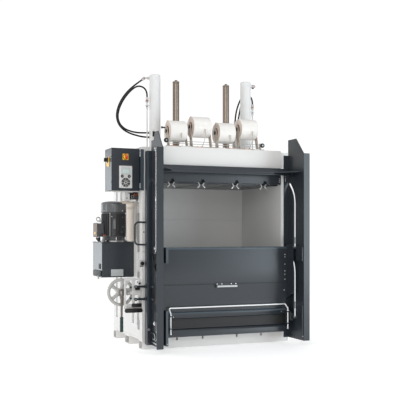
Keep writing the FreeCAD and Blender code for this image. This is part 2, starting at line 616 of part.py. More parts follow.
# ================================================================ BALE DOOR FRAME
def j_slot(z0):
    """slot tool for one pin: straight up, then a bend and a short run to the rear"""
    w = val("slot_w/2")
    y, r = d.slot_y, d.bend_r
    zt = z0 + d.straight
    a = math.radians(45)
    cy = y + r
    parts = [box(-700, 700, "slot_y - slot_w/2", "slot_y + slot_w/2", z0, zt), cyl("x", -700, "slot_y", z0, "slot_w/2", 1400)]
    pts = []
    n = 8
    for i in range(n + 1):
        t = a * i / n
        pts.append((cy - (r + w) * math.cos(t), zt + (r + w) * math.sin(t)))
    ey, ez = cy - r * math.cos(a), zt + r * math.sin(a)
    ty, tz = math.sin(a), math.cos(a)
    oy, oz = -math.cos(a) * w, math.sin(a) * w
    fy, fz = ey + ty * 40, ez + tz * 40
    pts.append((fy + oy, fz + oz))
    pts.append((fy - oy, fz - oz))
    for i in range(n, -1, -1):
        t = a * i / n
        pts.append((cy - (r - w) * math.cos(t), zt + (r - w) * math.sin(t)))
    face = body_poly("YZ_Plane", pts, 1400, -700)
    return parts + [face, cyl("x", -700, fy, fz, "slot_w/2", 1400)]


left_web = body_poly("YZ_Plane", [("frame_rear", "frame_bottom"), ("frame_front", "frame_bottom"),
                                  ("frame_front", "left_flange_top"), (-640, "left_plate_top"),
                                  (-566, "left_plate_top"), (-540, 1745), ("frame_rear", 1745)],
                     "sheet", "-plate_in - sheet")
left_flange = box("-plate_in - sheet - flange", "-plate_in", "frame_front - sheet", "frame_front", "frame_bottom", "left_flange_top")
left_rear = box("-plate_in", "-post_in", "frame_rear - sheet", "frame_rear", "frame_bottom", 1740)
left_guard = []
for z0, z1 in ((734, 856), (67, 350)):
    left_guard += [box(-618, -598, -750, -648, z0, z1), box("-plate_in", -598, -660, -648, z0, z1)]
right_web = body_poly("YZ_Plane", [("frame_rear", "frame_bottom"), ("frame_front", "frame_bottom"),
                                   ("frame_front", "right_flange_top"), (-620, "right_plate_top"),
                                   ("frame_rear", "right_plate_top")], "sheet", "plate_in")
right_flange = box("plate_in", "plate_in + sheet + flange", "frame_front - sheet", "frame_front", "frame_bottom", "right_flange_top")
right_rear = box("post_in", "plate_in", "frame_rear - sheet", "frame_rear", "frame_bottom", 1667)
right_guard = [box("plate_in - 12", "plate_in", -750, -648, 734, 856), box("plate_in - 12", "plate_in", -750, -648, 67, 350)]
node("door_left_plate", cut(fuse(left_web, left_flange, left_rear, *left_guard), *(j_slot(d.upper_pin) + j_slot(d.lower_pin))))
node("door_right_plate", cut(fuse(right_web, right_flange, right_rear, *right_guard), *(j_slot(d.upper_pin) + j_slot(d.lower_pin))))
node("door_stile", cut(box("-plate_in - 48", "-plate_in - sheet", -488, -434, "frame_bottom", 1660),
                       box("-plate_in - 44", "-plate_in - sheet - 4", -484, -438, "frame_bottom - 5", 1665)))
# ledge: bent angle with a sloping upper face, and a gusset that widens towards each side plate
ledge = body_poly("YZ_Plane", [("frame_rear - sheet", 1548), (-524, 1496), (-524, 1488), ("frame_rear - sheet", 1488),
                               ("frame_rear - sheet", 1494), (-517, 1494), ("frame_rear - sheet", 1539)],
                  "plate_in*2", "-plate_in")
gus_r = body_poly("XY_Plane", [(470, -506), ("plate_in", -506), ("plate_in", -700), (600, -690)], 8, 1506)
gus_l = body_poly("XY_Plane", [(-470, -506), ("-plate_in", -506), ("-plate_in", -700), (-600, -690)], 8, 1506)
node("ledge_crossmember", fuse(ledge, gus_r, gus_l))
# fixed panel of the bale door, with stiffening angles, a bottom ledge and hinge leaves
panel = fuse(box("-post_in", "post_in", -472, -466, 104, 848),
             box("-post_in", "post_in", -466, -436, 104, 112), box("-post_in", "post_in", -466, -436, 838, 848),
             box("-post_in", "post_in", -466, -436, 490, 498), box("-post_in", "-post_in + 8", -466, -436, 104, 848),
             box("post_in - 8", "post_in", -466, -436, 104, 848),
             body_poly("YZ_Plane", [(-472, 104), (-530, 104), (-530, 150), (-514, 168), (-472, 168)], "post_in*2", "-post_in"),
             box("-post_in - 47", "-post_in + 40", "frame_rear", "frame_rear + 8", 104, 848),
             box("post_in - 40", "post_in + 47", "frame_rear", "frame_rear + 8", 104, 848))
node("bale_door_panel", panel)
# D-shaped pull handle of bent round bar on the stile
hx, hz0, hz1 = -d.plate_in - 48, 880.0, 1066.0
r = 34.0
q = math.sqrt(0.5) * r
W = -788.0
hy = -461.0
edges = [Part.LineSegment(V(hx, hy, hz0), V(W + r, hy, hz0)).toShape(),
         Part.Arc(V(W + r, hy, hz0), V(W + r - q, hy, hz0 + r - q), V(W, hy, hz0 + r)).toShape(),
         Part.LineSegment(V(W, hy, hz0 + r), V(W, hy, hz1 - r)).toShape(),
         Part.Arc(V(W, hy, hz1 - r), V(W + r - q, hy, hz1 - r + q), V(W + r, hy, hz1)).toShape(),
         Part.LineSegment(V(W + r, hy, hz1), V(hx, hy, hz1)).toShape()]
hw = Part.Wire(edges)
o = doc.addObject("Part::Feature", "handle_bar")
o.Shape = hw.makePipeShell([Part.Wire([Part.Circle(V(hx, hy, hz0), V(-1, 0, 0), 8.0).toShape()])], True, False)
o.Placement = FreeCAD.Placement()
node("door_handle", o)
# two lock arms reach from the stile towards the lock
node("lock_arms", group(*[fuse(box(-794, "-plate_in - 48", -474, -452, z - 9, z + 9), box(-794, -776, -486, -474, z - 14, z + 14))
                          for z in (532, 428)]))
# bright guide wires outside the left plate, with end lugs
node("guide_wires", fuse(cyl("z", -660, -630, 826, 4, 824), box(-672, "-plate_in - sheet", -640, -620, 808, 826),
                         box(-672, "-plate_in - sheet", -640, -620, 1650, 1672)))
# door hinges: leaves on the door, barrels in two halves, pins held by the machine
knuckle = []
for z in (300, 880, 1460):
    knuckle.append(cut(fuse(cyl("z", "door_hinge_x", "door_hinge_y", z, 17, 60),
                            box("plate_in + sheet", "door_hinge_x", "door_hinge_y - 36", "door_hinge_y - 20", z, z + 60),
                            box("door_hinge_x - 8", "door_hinge_x + 8", "door_hinge_y - 36", "door_hinge_y - 6", z, z + 60),
                            box("plate_in + sheet", "plate_in + sheet + 8", -540, "door_hinge_y - 20", z, z + 60)),
                       cyl("z", "door_hinge_x", "door_hinge_y", z - 5, "11 + running_gap", 80)))
node("hinge_leaves", group(*knuckle))
pins = []
for z in (300, 880, 1460):
    pins.append(fuse(cyl("z", "door_hinge_x", "door_hinge_y", z - 30, 11, 90.5), cyl("z", "door_hinge_x", "door_hinge_y", z - 36, 17, 35.5),
                     box("base_right", "door_hinge_x", "-half_depth + 4", "-half_depth + 20", z - 36, z - 0.5),
                     box("door_hinge_x - 8", "door_hinge_x + 8", "door_hinge_y + 6", "-half_depth + 20", z - 36, z - 0.5)))
node("hinge_pins", group(*pins))

# ================================================================ SLIDING LOADING DOOR
# one folded sheet: top lip, upright face, a bend at the seam, a lower run that leans back,
# a recess with a stiffening angle, and a foot; ears at both ends carry the slide pins
sd = body_poly("YZ_Plane", [(-490, "slide_top - 8"), (-490, "slide_top"), (-516, "slide_top"), (-520, "slide_top - 6"),
                            (-520, 544), (-518, 532), (-506, 384), (-506, 306), (-520, 300), (-520, 258), (-506, 252),
                            (-506, 172), (-498, 172), (-498, 386), (-510, 535), (-512, 546),
                            (-512, "slide_top - 8")], 1220, -610)
ears = []
for x in (-618, 610):
    ears.append(body_poly("YZ_Plane", [(-500, 390), (-624, 452), (-624, 874), (-500, 874)], 8, x))
    ears.append(body_poly("YZ_Plane", [(-498, 208), (-624, 208), (-624, 262), (-560, 292), (-498, 330)], 8, x))
eyes = []
for xe in (-505, 599):
    for z in (179, 283):
        eyes.append(cut(box(xe - 13, xe + 13, -568, -502, z - 4, z + 4), cyl("z", xe, -554, z - 10, "6 + running_gap", 20)))
node("sliding_door", fuse(sd, *(ears + eyes)))
slide_pins = []
for z in ("upper_pin", "lower_pin"):
    slide_pins += [cyl("x", -670, "slot_y", z, "pin_dia/2", 52), cyl("x", 618, "slot_y", z, "pin_dia/2", 52),
                   cyl("x", -664, "slot_y", z, "pin_dia/2 + 6", 8), cyl("x", 656, "slot_y", z, "pin_dia/2 + 6", 8)]
node("slide_pins", group(*[fuse(slide_pins[i], slide_pins[i + 2]) for i in (0, 1, 4, 5)]))
# handle plate across the seam: bolted strap, round bar in front of it
node("door_grip", fuse(box(-88, 116, -526, -520, 503, 549), cyl("x", -80, -546, 521, 9, 188),
                       box(-62, -48, -546, -524, 514, 528), box(76, 90, -546, -524, 514, 528)))

# ================================================================ LIFT BAR AND PLATEN
# bright round bar bent at both ends: the cross run lies in the recess of the door, its legs
# slide up through the eyes of the door; a collar on each leg rests on the upper eye
bar_w, bar_p, bar_r = tube_path([V(-505, -554, 148), V(-505, -554, 308), V(-516, -536, 349), V(582, -536, 349),
                                 V(599, -554, 312), V(599, -554, 148)], 12.0)
bar = doc.addObject("Part::Feature", "bent_bar")
bar.Shape = bar_p
bar.Placement = FreeCAD.Placement()
node("lift_bar", fuse(bar, *[cyl("z", x, -554, 287.3, 10, 8) for x in (-505, 599)]))
pl = cut(box("-chamber_half + 10", "chamber_half - 10", -378, 378, "platen_bottom", "platen_bottom + 40"),
         *[box("%s - 9" % e, "%s + 9" % e, -395, 385, "platen_bottom - 5", "platen_bottom + 14") for e in
           ("-guide_outer", "-strap_inner", "strap_inner", "guide_outer")])
beams = [box("-chamber_half + 20", "chamber_half - 20", y, y + 14, "platen_bottom + 40", "platen_top") for y in (-220, -72, 58, 220)]
tops = [box("%s - 60" % e, "%s + 60" % e, y - 60, y + 60, "platen_bottom + 40", "platen_top") for e, y in
        (("-cyl_x", 0), ("cyl_x", 0), ("-guide_x", 0), ("guide_x", 0))]
node("press_platen", fuse(pl, *(beams + tops)))

# ---------------------------------------------------------------- check and write
doc.recompute()
bad = []
for o in doc.Objects:
    if "Invalid" in o.State or "Error" in o.State:
        bad.append((o.Name, o.Label, list(o.State)))
for name, o in NODES.items():
    s = o.Shape
    if s.isNull() or not s.isValid() or not s.Solids:
        bad.append((name, "shape"))
if bad:
    raise RuntimeError("failed objects: %r" % bad[:12])
os.makedirs("parts", exist_ok=True)
for name, o in NODES.items():
    o.Shape.exportStep("parts/%s.step" % name)
tot = Part.makeCompound([o.Shape for o in NODES.values()]).BoundBox
print(len(NODES), "sub-parts; box", [round(v, 1) for v in (tot.XMin, tot.XMax, tot.YMin, tot.YMax, tot.ZMin, tot.ZMax)])
for name, o in NODES.items():
    print("%-22s solids %2d  %.1f kg-equiv steel" % (name, len(o.Shape.Solids), o.Shape.Volume * 7.85e-6))
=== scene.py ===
import bpy, bmesh, math, json, random
from mathutils import Vector, Matrix, Quaternion


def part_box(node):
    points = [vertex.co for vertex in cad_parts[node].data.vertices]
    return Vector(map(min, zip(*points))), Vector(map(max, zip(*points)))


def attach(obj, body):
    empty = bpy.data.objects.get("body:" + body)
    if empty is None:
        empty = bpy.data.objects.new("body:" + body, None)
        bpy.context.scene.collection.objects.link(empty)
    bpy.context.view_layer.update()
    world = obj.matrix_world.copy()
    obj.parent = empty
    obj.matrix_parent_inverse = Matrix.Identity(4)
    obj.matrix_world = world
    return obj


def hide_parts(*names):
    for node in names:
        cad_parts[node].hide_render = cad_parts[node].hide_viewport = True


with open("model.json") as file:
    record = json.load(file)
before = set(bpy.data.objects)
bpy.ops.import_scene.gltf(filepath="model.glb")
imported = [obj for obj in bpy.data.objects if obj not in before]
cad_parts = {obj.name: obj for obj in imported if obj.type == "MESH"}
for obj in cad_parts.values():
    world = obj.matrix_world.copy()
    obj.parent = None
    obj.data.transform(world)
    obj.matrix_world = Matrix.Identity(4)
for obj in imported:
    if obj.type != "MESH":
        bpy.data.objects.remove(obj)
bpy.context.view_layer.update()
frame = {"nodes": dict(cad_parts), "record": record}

MM = 0.001
SC = bpy.context.scene
COL = SC.collection
RND = random.Random(7)

# ------------------------------------------------------------------ camera
cam_data = bpy.data.cameras.new("camera")
cam_data.lens = 70.2
cam_data.sensor_width = 36.0
cam_data.shift_y = 0.08
cam_data.dof.use_dof = False
cam_data.clip_start = 0.1
cam_data.clip_end = 60.0
camera = bpy.data.objects.new("camera", cam_data)
camera.location = (-2.759, -6.631, 0.985)
camera.rotation_euler = (math.radians(90), 0, math.radians(-22.5))
COL.objects.link(camera)
SC.camera = camera


# ------------------------------------------------------------------ materials
def _lin(c):
    """a display colour, 0 to 255, as linear light"""
    out = []
    for v in c:
        v = v / 255.0
        out.append(v / 12.92 if v <= 0.04045 else ((v + 0.055) / 1.055) ** 2.4)
    return (out[0], out[1], out[2], 1.0)


def material(name, colour, rough=0.4, metal=0.0, var=0.06, var_scale=3.0, bump=0.0, bump_scale=300.0,
             coat=0.0, coat_rough=0.2, rough_var=0.06, spec=0.5, sheen=0.0, speck=0.0, streak=None, bump_dist=0.0005):
    """paint, metal or plastic: large soft colour variation, fine grain, uneven roughness; streak stretches the grain"""
    m = bpy.data.materials.new(name)
    m.use_nodes = True
    nt = m.node_tree
    nt.nodes.clear()
    out = nt.nodes.new("ShaderNodeOutputMaterial")
    b = nt.nodes.new("ShaderNodeBsdfPrincipled")
    nt.links.new(b.outputs[0], out.inputs[0])
    b.inputs["Metallic"].default_value = metal
    b.inputs["Coat Weight"].default_value = coat
    b.inputs["Coat Roughness"].default_value = coat_rough
    b.inputs["Specular IOR Level"].default_value = spec
    b.inputs["Sheen Weight"].default_value = sheen
    tc = nt.nodes.new("ShaderNodeTexCoord")
    n1 = nt.nodes.new("ShaderNodeTexNoise")
    n1.inputs["Scale"].default_value = var_scale
    n1.inputs["Detail"].default_value = 5.0
    nt.links.new(tc.outputs["Object"], n1.inputs["Vector"])
    ramp = nt.nodes.new("ShaderNodeValToRGB")
    c = _lin(colour)
    ramp.color_ramp.elements[0].position = 0.3
    ramp.color_ramp.elements[1].position = 0.7
    ramp.color_ramp.elements[0].color = tuple(x * (1 - var) for x in c[:3]) + (1,)
    ramp.color_ramp.elements[1].color = tuple(min(1.0, x * (1 + var)) for x in c[:3]) + (1,)
    nt.links.new(n1.outputs["Fac"], ramp.inputs["Fac"])
    col = ramp.outputs["Color"]
    n2 = nt.nodes.new("ShaderNodeTexNoise")
    n2.inputs["Scale"].default_value = bump_scale
    n2.inputs["Detail"].default_value = 3.0
    if streak:
        mp = nt.nodes.new("ShaderNodeMapping")
        mp.inputs["Scale"].default_value = streak
        nt.links.new(tc.outputs["Object"], mp.inputs["Vector"])
        nt.links.new(mp.outputs["Vector"], n2.inputs["Vector"])
    else:
        nt.links.new(tc.outputs["Object"], n2.inputs["Vector"])
    if speck > 0:
        r2 = nt.nodes.new("ShaderNodeValToRGB")
        r2.color_ramp.elements[0].position = 0.35
        r2.color_ramp.elements[1].position = 0.65
        r2.color_ramp.elements[0].color = (1 - speck, 1 - speck, 1 - speck, 1)
        r2.color_ramp.elements[1].color = (1, 1, 1, 1)
        nt.links.new(n2.outputs["Fac"], r2.inputs["Fac"])
        mul = nt.nodes.new("ShaderNodeMix")
        mul.data_type = "RGBA"
        mul.blend_type = "MULTIPLY"
        mul.inputs["Factor"].default_value = 1.0
        nt.links.new(col, mul.inputs["A"])
        nt.links.new(r2.outputs["Color"], mul.inputs["B"])
        col = mul.outputs["Result"]
    nt.links.new(col, b.inputs["Base Color"])
    mr = nt.nodes.new("ShaderNodeMapRange")
    mr.inputs["To Min"].default_value = max(0.02, rough - rough_var)
    mr.inputs["To Max"].default_value = min(1.0, rough + rough_var)
    nt.links.new(n1.outputs["Fac"], mr.inputs["Value"])
    nt.links.new(mr.outputs["Result"], b.inputs["Roughness"])
    if bump > 0:
        bp = nt.nodes.new("ShaderNodeBump")
        bp.inputs["Strength"].default_value = bump
        bp.inputs["Distance"].default_value = bump_dist
        nt.links.new(n2.outputs["Fac"], bp.inputs["Height"])
        nt.links.new(bp.outputs["Normal"], b.inputs["Normal"])
    return m


WHITE = material("paint_white", (224, 223, 221), rough=0.42, var=0.012, var_scale=2.2, bump=0.05, bump_scale=420, coat=0.1, coat_rough=0.3, rough_var=0.05)
TUBEW = material("paint_tube", (223, 223, 222), rough=0.46, var=0.004, var_scale=4, bump=0.0, coat=0.0, rough_var=0.02)
# terminal box cover: lighter than the box, with a brownish tint that stands in for a beige reflection on it: painted
# reflection
COVER = material("terminal_cover", (112, 98, 86), rough=0.5, var=0.05, bump=0.08, bump_scale=420)
GREY = material("paint_anthracite", (34, 41, 48), rough=0.34, var=0.05, var_scale=1.6, bump=0.06, bump_scale=480, coat=0.35, coat_rough=0.22, speck=0.04, rough_var=0.04)
MOTOR = material("paint_motor", (74, 75, 77), rough=0.42, var=0.08, bump=0.12, bump_scale=350, coat=0.15)
COWL = material("paint_cowl", (92, 95, 97), rough=0.24, var=0.05, bump=0.05, bump_scale=350, coat=0.5, coat_rough=0.14, rough_var=0.04)
STEEL = material("zinc_steel", (190, 190, 190), rough=0.3, metal=1.0, var=0.1, var_scale=18, bump=0.06, bump_scale=260)
DARKSTEEL = material("dark_steel", (96, 96, 98), rough=0.38, metal=1.0, var=0.15, var_scale=16, bump=0.08, bump_scale=300)
ROD = material("ground_rod", (146, 133, 122), rough=0.33, metal=1.0, var=0.02, var_scale=3, bump=0.0, rough_var=0.01)
SLOT = material("slot_shade", (150, 150, 149), rough=0.5, var=0.03, var_scale=6, bump=0.05)
CHROME = material("bright_rod", (226, 226, 227), rough=0.2, metal=1.0, var=0.03, var_scale=14, bump=0.0, rough_var=0.02)
RUBBER = material("hose_cover", (17, 17, 18), rough=0.46, var=0.15, bump=0.2, bump_scale=900, spec=0.35)
BLACK = material("black_plastic", (20, 20, 21), rough=0.4, var=0.1, bump=0.08, bump_scale=800)
WHEEL = material("cast_wheel", (184, 183, 180), rough=0.4, var=0.03, var_scale=9, bump=0.12, bump_scale=420, spec=0.45)
LEVERST = material("lever_steel", (128, 122, 116), rough=0.38, metal=0.85, var=0.05, bump=0.05)
BOWL = material("filter_bowl", (208, 199, 188), rough=0.26, var=0.03, var_scale=8, bump=0.02, coat=0.3, coat_rough=0.12)
# lighter blue-grey copy of the anthracite: painted highlight on lips and edges that catch the light
ANTHRACITE_PAINTED_HIGHLIGHT = material("paint_anthracite_painted_highlight", (62, 74, 83), rough=0.35, var=0.03, bump=0.05, coat=0.2)
# zinc bar whose near-white colour stands in for its bright reflection: painted sheen
LIFT_PAINTED_SHEEN = material("zinc_with_painted_sheen", (250, 250, 250), rough=0.22, metal=0.35, var=0.02, bump=0.03, bump_scale=300)
GRIP = material("grip_green", (34, 62, 58), rough=0.5, var=0.08, bump=0.15, bump_scale=500)
LIGHT = material("light_plastic", (206, 205, 203), rough=0.42, var=0.03, var_scale=10, bump=0.04, bump_scale=700)
BEIGE = material("beige_plastic", (186, 176, 164), rough=0.45, var=0.05, var_scale=10, bump=0.06, bump_scale=500)
YELLOW = material("yellow_plastic", (238, 188, 36), rough=0.32, var=0.04, bump=0.04, bump_scale=600)
RED = material("red_plastic", (205, 34, 34), rough=0.28, var=0.05, bump=0.04, bump_scale=600)
ORANGE = material("orange_ring", (196, 96, 60), rough=0.4, var=0.06, var_scale=30, bump=0.05, bump_scale=500)
STRAP = material("strap_band", (236, 233, 229), rough=0.36, var=0.015, var_scale=7, bump=0.12, bump_scale=110, streak=(1, 0.05, 0.05), coat=0.2, coat_rough=0.3)
STRAPEND = material("strap_edge", (226, 214, 204), rough=0.5, var=0.05, var_scale=30, bump=0.2, bump_scale=240, streak=(0.05, 1, 1))
BOARD = material("core_board", (128, 82, 56), rough=0.75, var=0.12, var_scale=24, bump=0.2, bump_scale=400)
SCREEN = material("display_glass", (196, 212, 208), rough=0.16, var=0.02, var_scale=30, bump=0.0, coat=0.4, coat_rough=0.06)
KEYS = material("key_dark", (52, 54, 56), rough=0.42, var=0.08, var_scale=60, bump=0.05, bump_scale=700)
# near-black: the throat plates' colour, and painted shade under the door seam and on the plate between the lock arms
NEAR_BLACK_AND_PAINTED_SHADE = material("near_black_and_painted_shade", (11, 14, 17), rough=0.55, var=0.1, bump=0.1, bump_scale=500)
PLATE = material("blank_plate", (198, 201, 202), rough=0.34, metal=0.4, var=0.05, var_scale=12, bump=0.06, bump_scale=300, streak=(0.05, 1, 1))
COPPER = material("copper_tint", (204, 156, 130), rough=0.35, metal=0.6, var=0.12, var_scale=22, bump=0.08, bump_scale=300)
SLOT_MAT = {"white_paint": WHITE, "grey_paint": GREY, "motor_paint": MOTOR, "steel": STEEL, "polished_steel": CHROME,
            "hose_rubber": RUBBER, "black_plastic": BLACK, "light_plastic": LIGHT, "yellow_plastic": YELLOW,
            "red_plastic": RED, "strap_plastic": STRAP}
SLOT_OF = {s["node"]: s["material_slot"] for s in frame["record"]["subparts"]}
BODY_OF = {}
for _b, _ns in frame["record"]["behaviour"]["bodies"].items():
    for _n in _ns:
        BODY_OF[_n] = _b


def node_obj(name):
    return frame["nodes"][name]


def paint(name, mat):
    o = node_obj(name)
    o.data.materials.clear()
    o.data.materials.append(mat)
    for p in o.data.polygons:
        p.material_index = 0


for _n, _s in SLOT_OF.items():
    paint(_n, SLOT_MAT[_s])

# ------------------------------------------------------------------ hydraulic hoses: held at their two unions
HOSE_D = 15.0
ROUTES = {
    "hose_left_top": [(-577, 0, 2340), (-634, 0, 2298), (-702, 2, 2238), (-757, 5, 2166), (-794, 10, 2086),
                      (-806, 19, 2008), (-782, 32, 1940), (-730, 48, 1894), (-660, 64, 1866), (-582, 80, 1852),
                      (-524, 91, 1845), (-480, 96, 1846)],
    "hose_left_pipe": [(-525, 0, 2190), (-524, 3, 2226), (-538, 7, 2264), (-572, 13, 2288), (-614, 19, 2287),
                       (-651, 26, 2263), (-686, 33, 2227), (-721, 40, 2181), (-752, 47, 2127), (-774, 54, 2067),
                       (-780, 62, 2006), (-760, 70, 1950), (-712, 79, 1909), (-646, 88, 1889), (-580, 95, 1882),
                       (-524, 97, 1884), (-480, 96, 1886)],
    "hose_right_top": [(531, 38, 2362), (530, 74, 2357), (523, 112, 2336), (511, 144, 2298), (498, 162, 2250),
                       (484, 169, 2198), (470, 164, 2146), (454, 148, 2102), (437, 122, 2070), (424, 104, 2035)],
    "hose_right_pipe": [(525, 0, 2190), (524, 1, 2227), (515, 17, 2264), (498, 47, 2286), (476, 83, 2284),
                        (459, 113, 2260), (446, 133, 2220), (430, 137, 2172), (415, 130, 2124), (402, 118, 2078),
                        (392, 104, 2035)],
}
for _n, _pts in ROUTES.items():
    cu = bpy.data.curves.new(_n + "_line", "CURVE")
    cu.dimensions = "3D"
    sp = cu.splines.new("NURBS")
    sp.points.add(len(_pts) - 1)
    for _p, _q in zip(sp.points, _pts):
        _p.co = (_q[0] * MM, _q[1] * MM, _q[2] * MM, 1.0)
    sp.order_u = 3
    sp.use_endpoint_u = True
    sp.resolution_u = 10
    cu.bevel_depth = HOSE_D / 2 * MM
    cu.bevel_resolution = 6
    cu.use_fill_caps = True
    cu.materials.append(RUBBER)
    ob = bpy.data.objects.new(_n + "_hose", cu)
    COL.objects.link(ob)
    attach(ob, "machine")
    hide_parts(_n)


# ------------------------------------------------------------------ mesh building, in millimetres
AX = {"x": (Vector((1, 0, 0)), Vector((0, 1, 0)), Vector((0, 0, 1))),
      "y": (Vector((0, 1, 0)), Vector((0, 0, 1)), Vector((1, 0, 0))),
      "z": (Vector((0, 0, 1)), Vector((1, 0, 0)), Vector((0, 1, 0)))}


def frame_of(d):
    """a right-handed frame whose first direction is d"""
    d = Vector(d).normalized()
    u = d.cross(Vector((0, 0, 1)))
    if u.length < 1e-4:
        u = d.cross(Vector((0, 1, 0)))
    u.normalize()
    return d, u, d.cross(u)


class Build:
    """collects faces with their material; every shape is closed"""

    def __init__(self):
        self.v, self.f, self.m = [], [], []

    def put(self, verts, faces, mat=0):
        n = len(self.v)
        self.v += [Vector(p) for p in verts]
        for f in faces:
            self.f.append([n + i for i in f])
            self.m.append(mat)

    def put_bm(self, bm, mat=0):
        bm.verts.index_update()
        self.put([v.co.copy() for v in bm.verts], [[v.index for v in f.verts] for f in bm.faces], mat)
        bm.free()

    def box(self, x0, x1, y0, y1, z0, z1, mat=0, c=1.2):
        """box with chamfered edges"""
        lo, hi = (min(x0, x1), min(y0, y1), min(z0, z1)), (max(x0, x1), max(y0, y1), max(z0, z1))
        c = min(c, 0.3 * min(hi[k] - lo[k] for k in range(3)))
        bm = bmesh.new()
        r = bmesh.ops.create_cube(bm, size=1.0)
        for v in r["verts"]:
            v.co = Vector([lo[k] if v.co[k] < 0 else hi[k] for k in range(3)])
        if c > 0:
            bmesh.ops.bevel(bm, geom=list(bm.edges), offset=c, offset_type="OFFSET", segments=2 if c > 2.5 else 1,
                            profile=0.5, affect="EDGES")
        self.put_bm(bm, mat)

    def prism(self, pts, axis, a, b, mat=0, c=1.2, seg=1):
        """an outline in the two other directions (y z, z x or x y), drawn from a to b along axis, chamfered"""
        A, U, W = AX[axis]
        bm = bmesh.new()
        lo = [bm.verts.new(A * a + U * p[0] + W * p[1]) for p in pts]
        hi = [bm.verts.new(A * b + U * p[0] + W * p[1]) for p in pts]
        n = len(pts)
        bm.faces.new(lo)
        bm.faces.new(hi)
        for i in range(n):
            bm.faces.new((lo[i], lo[(i + 1) % n], hi[(i + 1) % n], hi[i]))
        bmesh.ops.recalc_face_normals(bm, faces=bm.faces)
        if c > 0:
            es = [e for e in bm.edges if e.calc_face_angle(0) > 0.45]
            bmesh.ops.bevel(bm, geom=es, offset=c, offset_type="OFFSET", segments=seg, profile=0.5,
                            clamp_overlap=True, affect="EDGES")
        self.put_bm(bm, mat)

    def lathe(self, axis, o, prof, seg=48, mat=0, d=None, closed=False, mats=None, wob=0.0):
        """profile of (radius, height) turned about an axis through o; ends on the axis close by themselves"""
        A, U, W = AX[axis] if d is None else frame_of(d)
        o = Vector(o)
        rings = []
        verts = []
        for r, h in prof:
            if r < 1e-6:
                rings.append([len(verts)])
                verts.append(o + A * h)
            else:
                ring = []
                for k in range(seg):
                    t = 2 * math.pi * k / seg
                    rr = r + (wob * math.sin(3 * t + h) if wob else 0)
                    ring.append(len(verts))
                    verts.append(o + A * h + (U * math.cos(t) + W * math.sin(t)) * rr)
                rings.append(ring)
        pairs = list(range(len(rings) - 1)) + ([len(rings) - 1] if closed else [])
        for i in pairs:
            a, b = rings[i], rings[(i + 1) % len(rings)]
            mt = mats[i] if mats else mat
            fs = []
            if len(a) == 1 and len(b) == 1:
                continue
            for k in range(seg):
                j = (k + 1) % seg
                if len(a) == 1:
                    fs.append((a[0], b[k], b[j]))
                elif len(b) == 1:
                    fs.append((a[k], b[0], a[j]))
                else:
                    fs.append((a[k], b[k], b[j], a[j]))
            n = len(self.v)
            for f in fs:
                self.f.append([n + q for q in f])
                self.m.append(mt)
        if not closed:
            for i, ring in ((0, rings[0]), (-1, rings[-1])):
                if len(ring) > 1:
                    n = len(self.v)
                    self.f.append([n + q for q in (ring if i == 0 else reversed(ring))])
                    self.m.append(mats[0 if i == 0 else -1] if mats else mat)
        self.v += verts

    def rod(self, a, b, r, mat=0, seg=20, c=0.8):
        """a round bar from a to b with chamfered ends"""
        a, b = Vector(a), Vector(b)
        L = (b - a).length
        c = min(c, r * 0.4, L * 0.3)
        self.lathe("z", a, [(0, 0), (r - c, 0), (r, c), (r, L - c), (r - c, L), (0, L)], seg, mat, d=b - a)

    def tube(self, pts, r, mat=0, seg=12, closed=False, sub=1):
        """a round bar along points; corners are already rounded in the points"""
        P = [Vector(p) for p in pts]
        n = len(P)
        T = []
        for i in range(n):
            if closed:
                t = P[(i + 1) % n] - P[i - 1]
            else:
                t = P[min(i + 1, n - 1)] - P[max(i - 1, 0)]
            T.append(t.normalized())
        _, u, _ = frame_of(T[0])
        verts, rings = [], []
        for i in range(n):
            if i:
                q = T[i - 1].rotation_difference(T[i])
                u = q @ u
            u = (u - T[i] * u.dot(T[i])).normalized()
            w = T[i].cross(u)
            ring = []
            for k in range(seg):
                t = 2 * math.pi * k / seg
                ring.append(len(verts))
                verts.append(P[i] + (u * math.cos(t) + w * math.sin(t)) * r)
            rings.append(ring)
        faces = []
        m = n if closed else n - 1
        for i in range(m):
            a, b = rings[i], rings[(i + 1) % n]
            for k in range(seg):
                j = (k + 1) % seg
                faces.append((a[k], a[j], b[j], b[k]))
        if not closed:
            faces.append(tuple(reversed(rings[0])))
            faces.append(tuple(rings[-1]))
        self.put(verts, faces, mat)

    def hexa(self, o, d, af, h, mat=0, dome=True):
        """hexagon nut or bolt head standing on o, along d"""
        r = af / math.sqrt(3)
        D, U, W = frame_of(d)
        o = Vector(o)
        bm = bmesh.new()
        lo = [bm.verts.new(o + (U * math.cos(k * math.pi / 3) + W * math.sin(k * math.pi / 3)) * r) for k in range(6)]
        m1 = [bm.verts.new(v.co + D * (h * 0.8)) for v in lo]
        hi = [bm.verts.new(o + D * h + (v.co - o).normalized() * (r * 0.86)) for v in lo]
        bm.faces.new(lo)
        bm.faces.new(hi)
        for a, b in ((lo, m1), (m1, hi)):
            for i in range(6):
                j = (i + 1) % 6
                bm.faces.new((a[i], a[j], b[j], b[i]))
        bmesh.ops.recalc_face_normals(bm, faces=bm.faces)
        self.put_bm(bm, mat)

    def bolt(self, o, d, af=17, mat=0, washer=True, stub=0.0):
        """washer and hexagon head; with stub the thread end of a stud stands out"""
        o, D = Vector(o), Vector(d).normalized()
        if washer:
            self.rod(o - D * 1.0, o + D * 2.0, af * 0.85, mat, 18, 0.5)
        self.hexa(o + D * 1.8, D, af, af * 0.6, mat)
        if stub:
            self.rod(o + D * (af * 0.5), o + D * (af * 0.6 + stub + 1.8), af * 0.3, mat, 12, 0.6)

    def cap_screw(self, o, d, r=5.0, h=4.0, mat=0):
        """round socket head: the socket is a real recess"""
        self.lathe("z", o, [(0, -0.5), (r, -0.5), (r, h - 0.8), (r - 0.8, h), (r * 0.5, h), (r * 0.5, h - 2.2), (0, h - 2.2)],
                   16, mat, d=d)

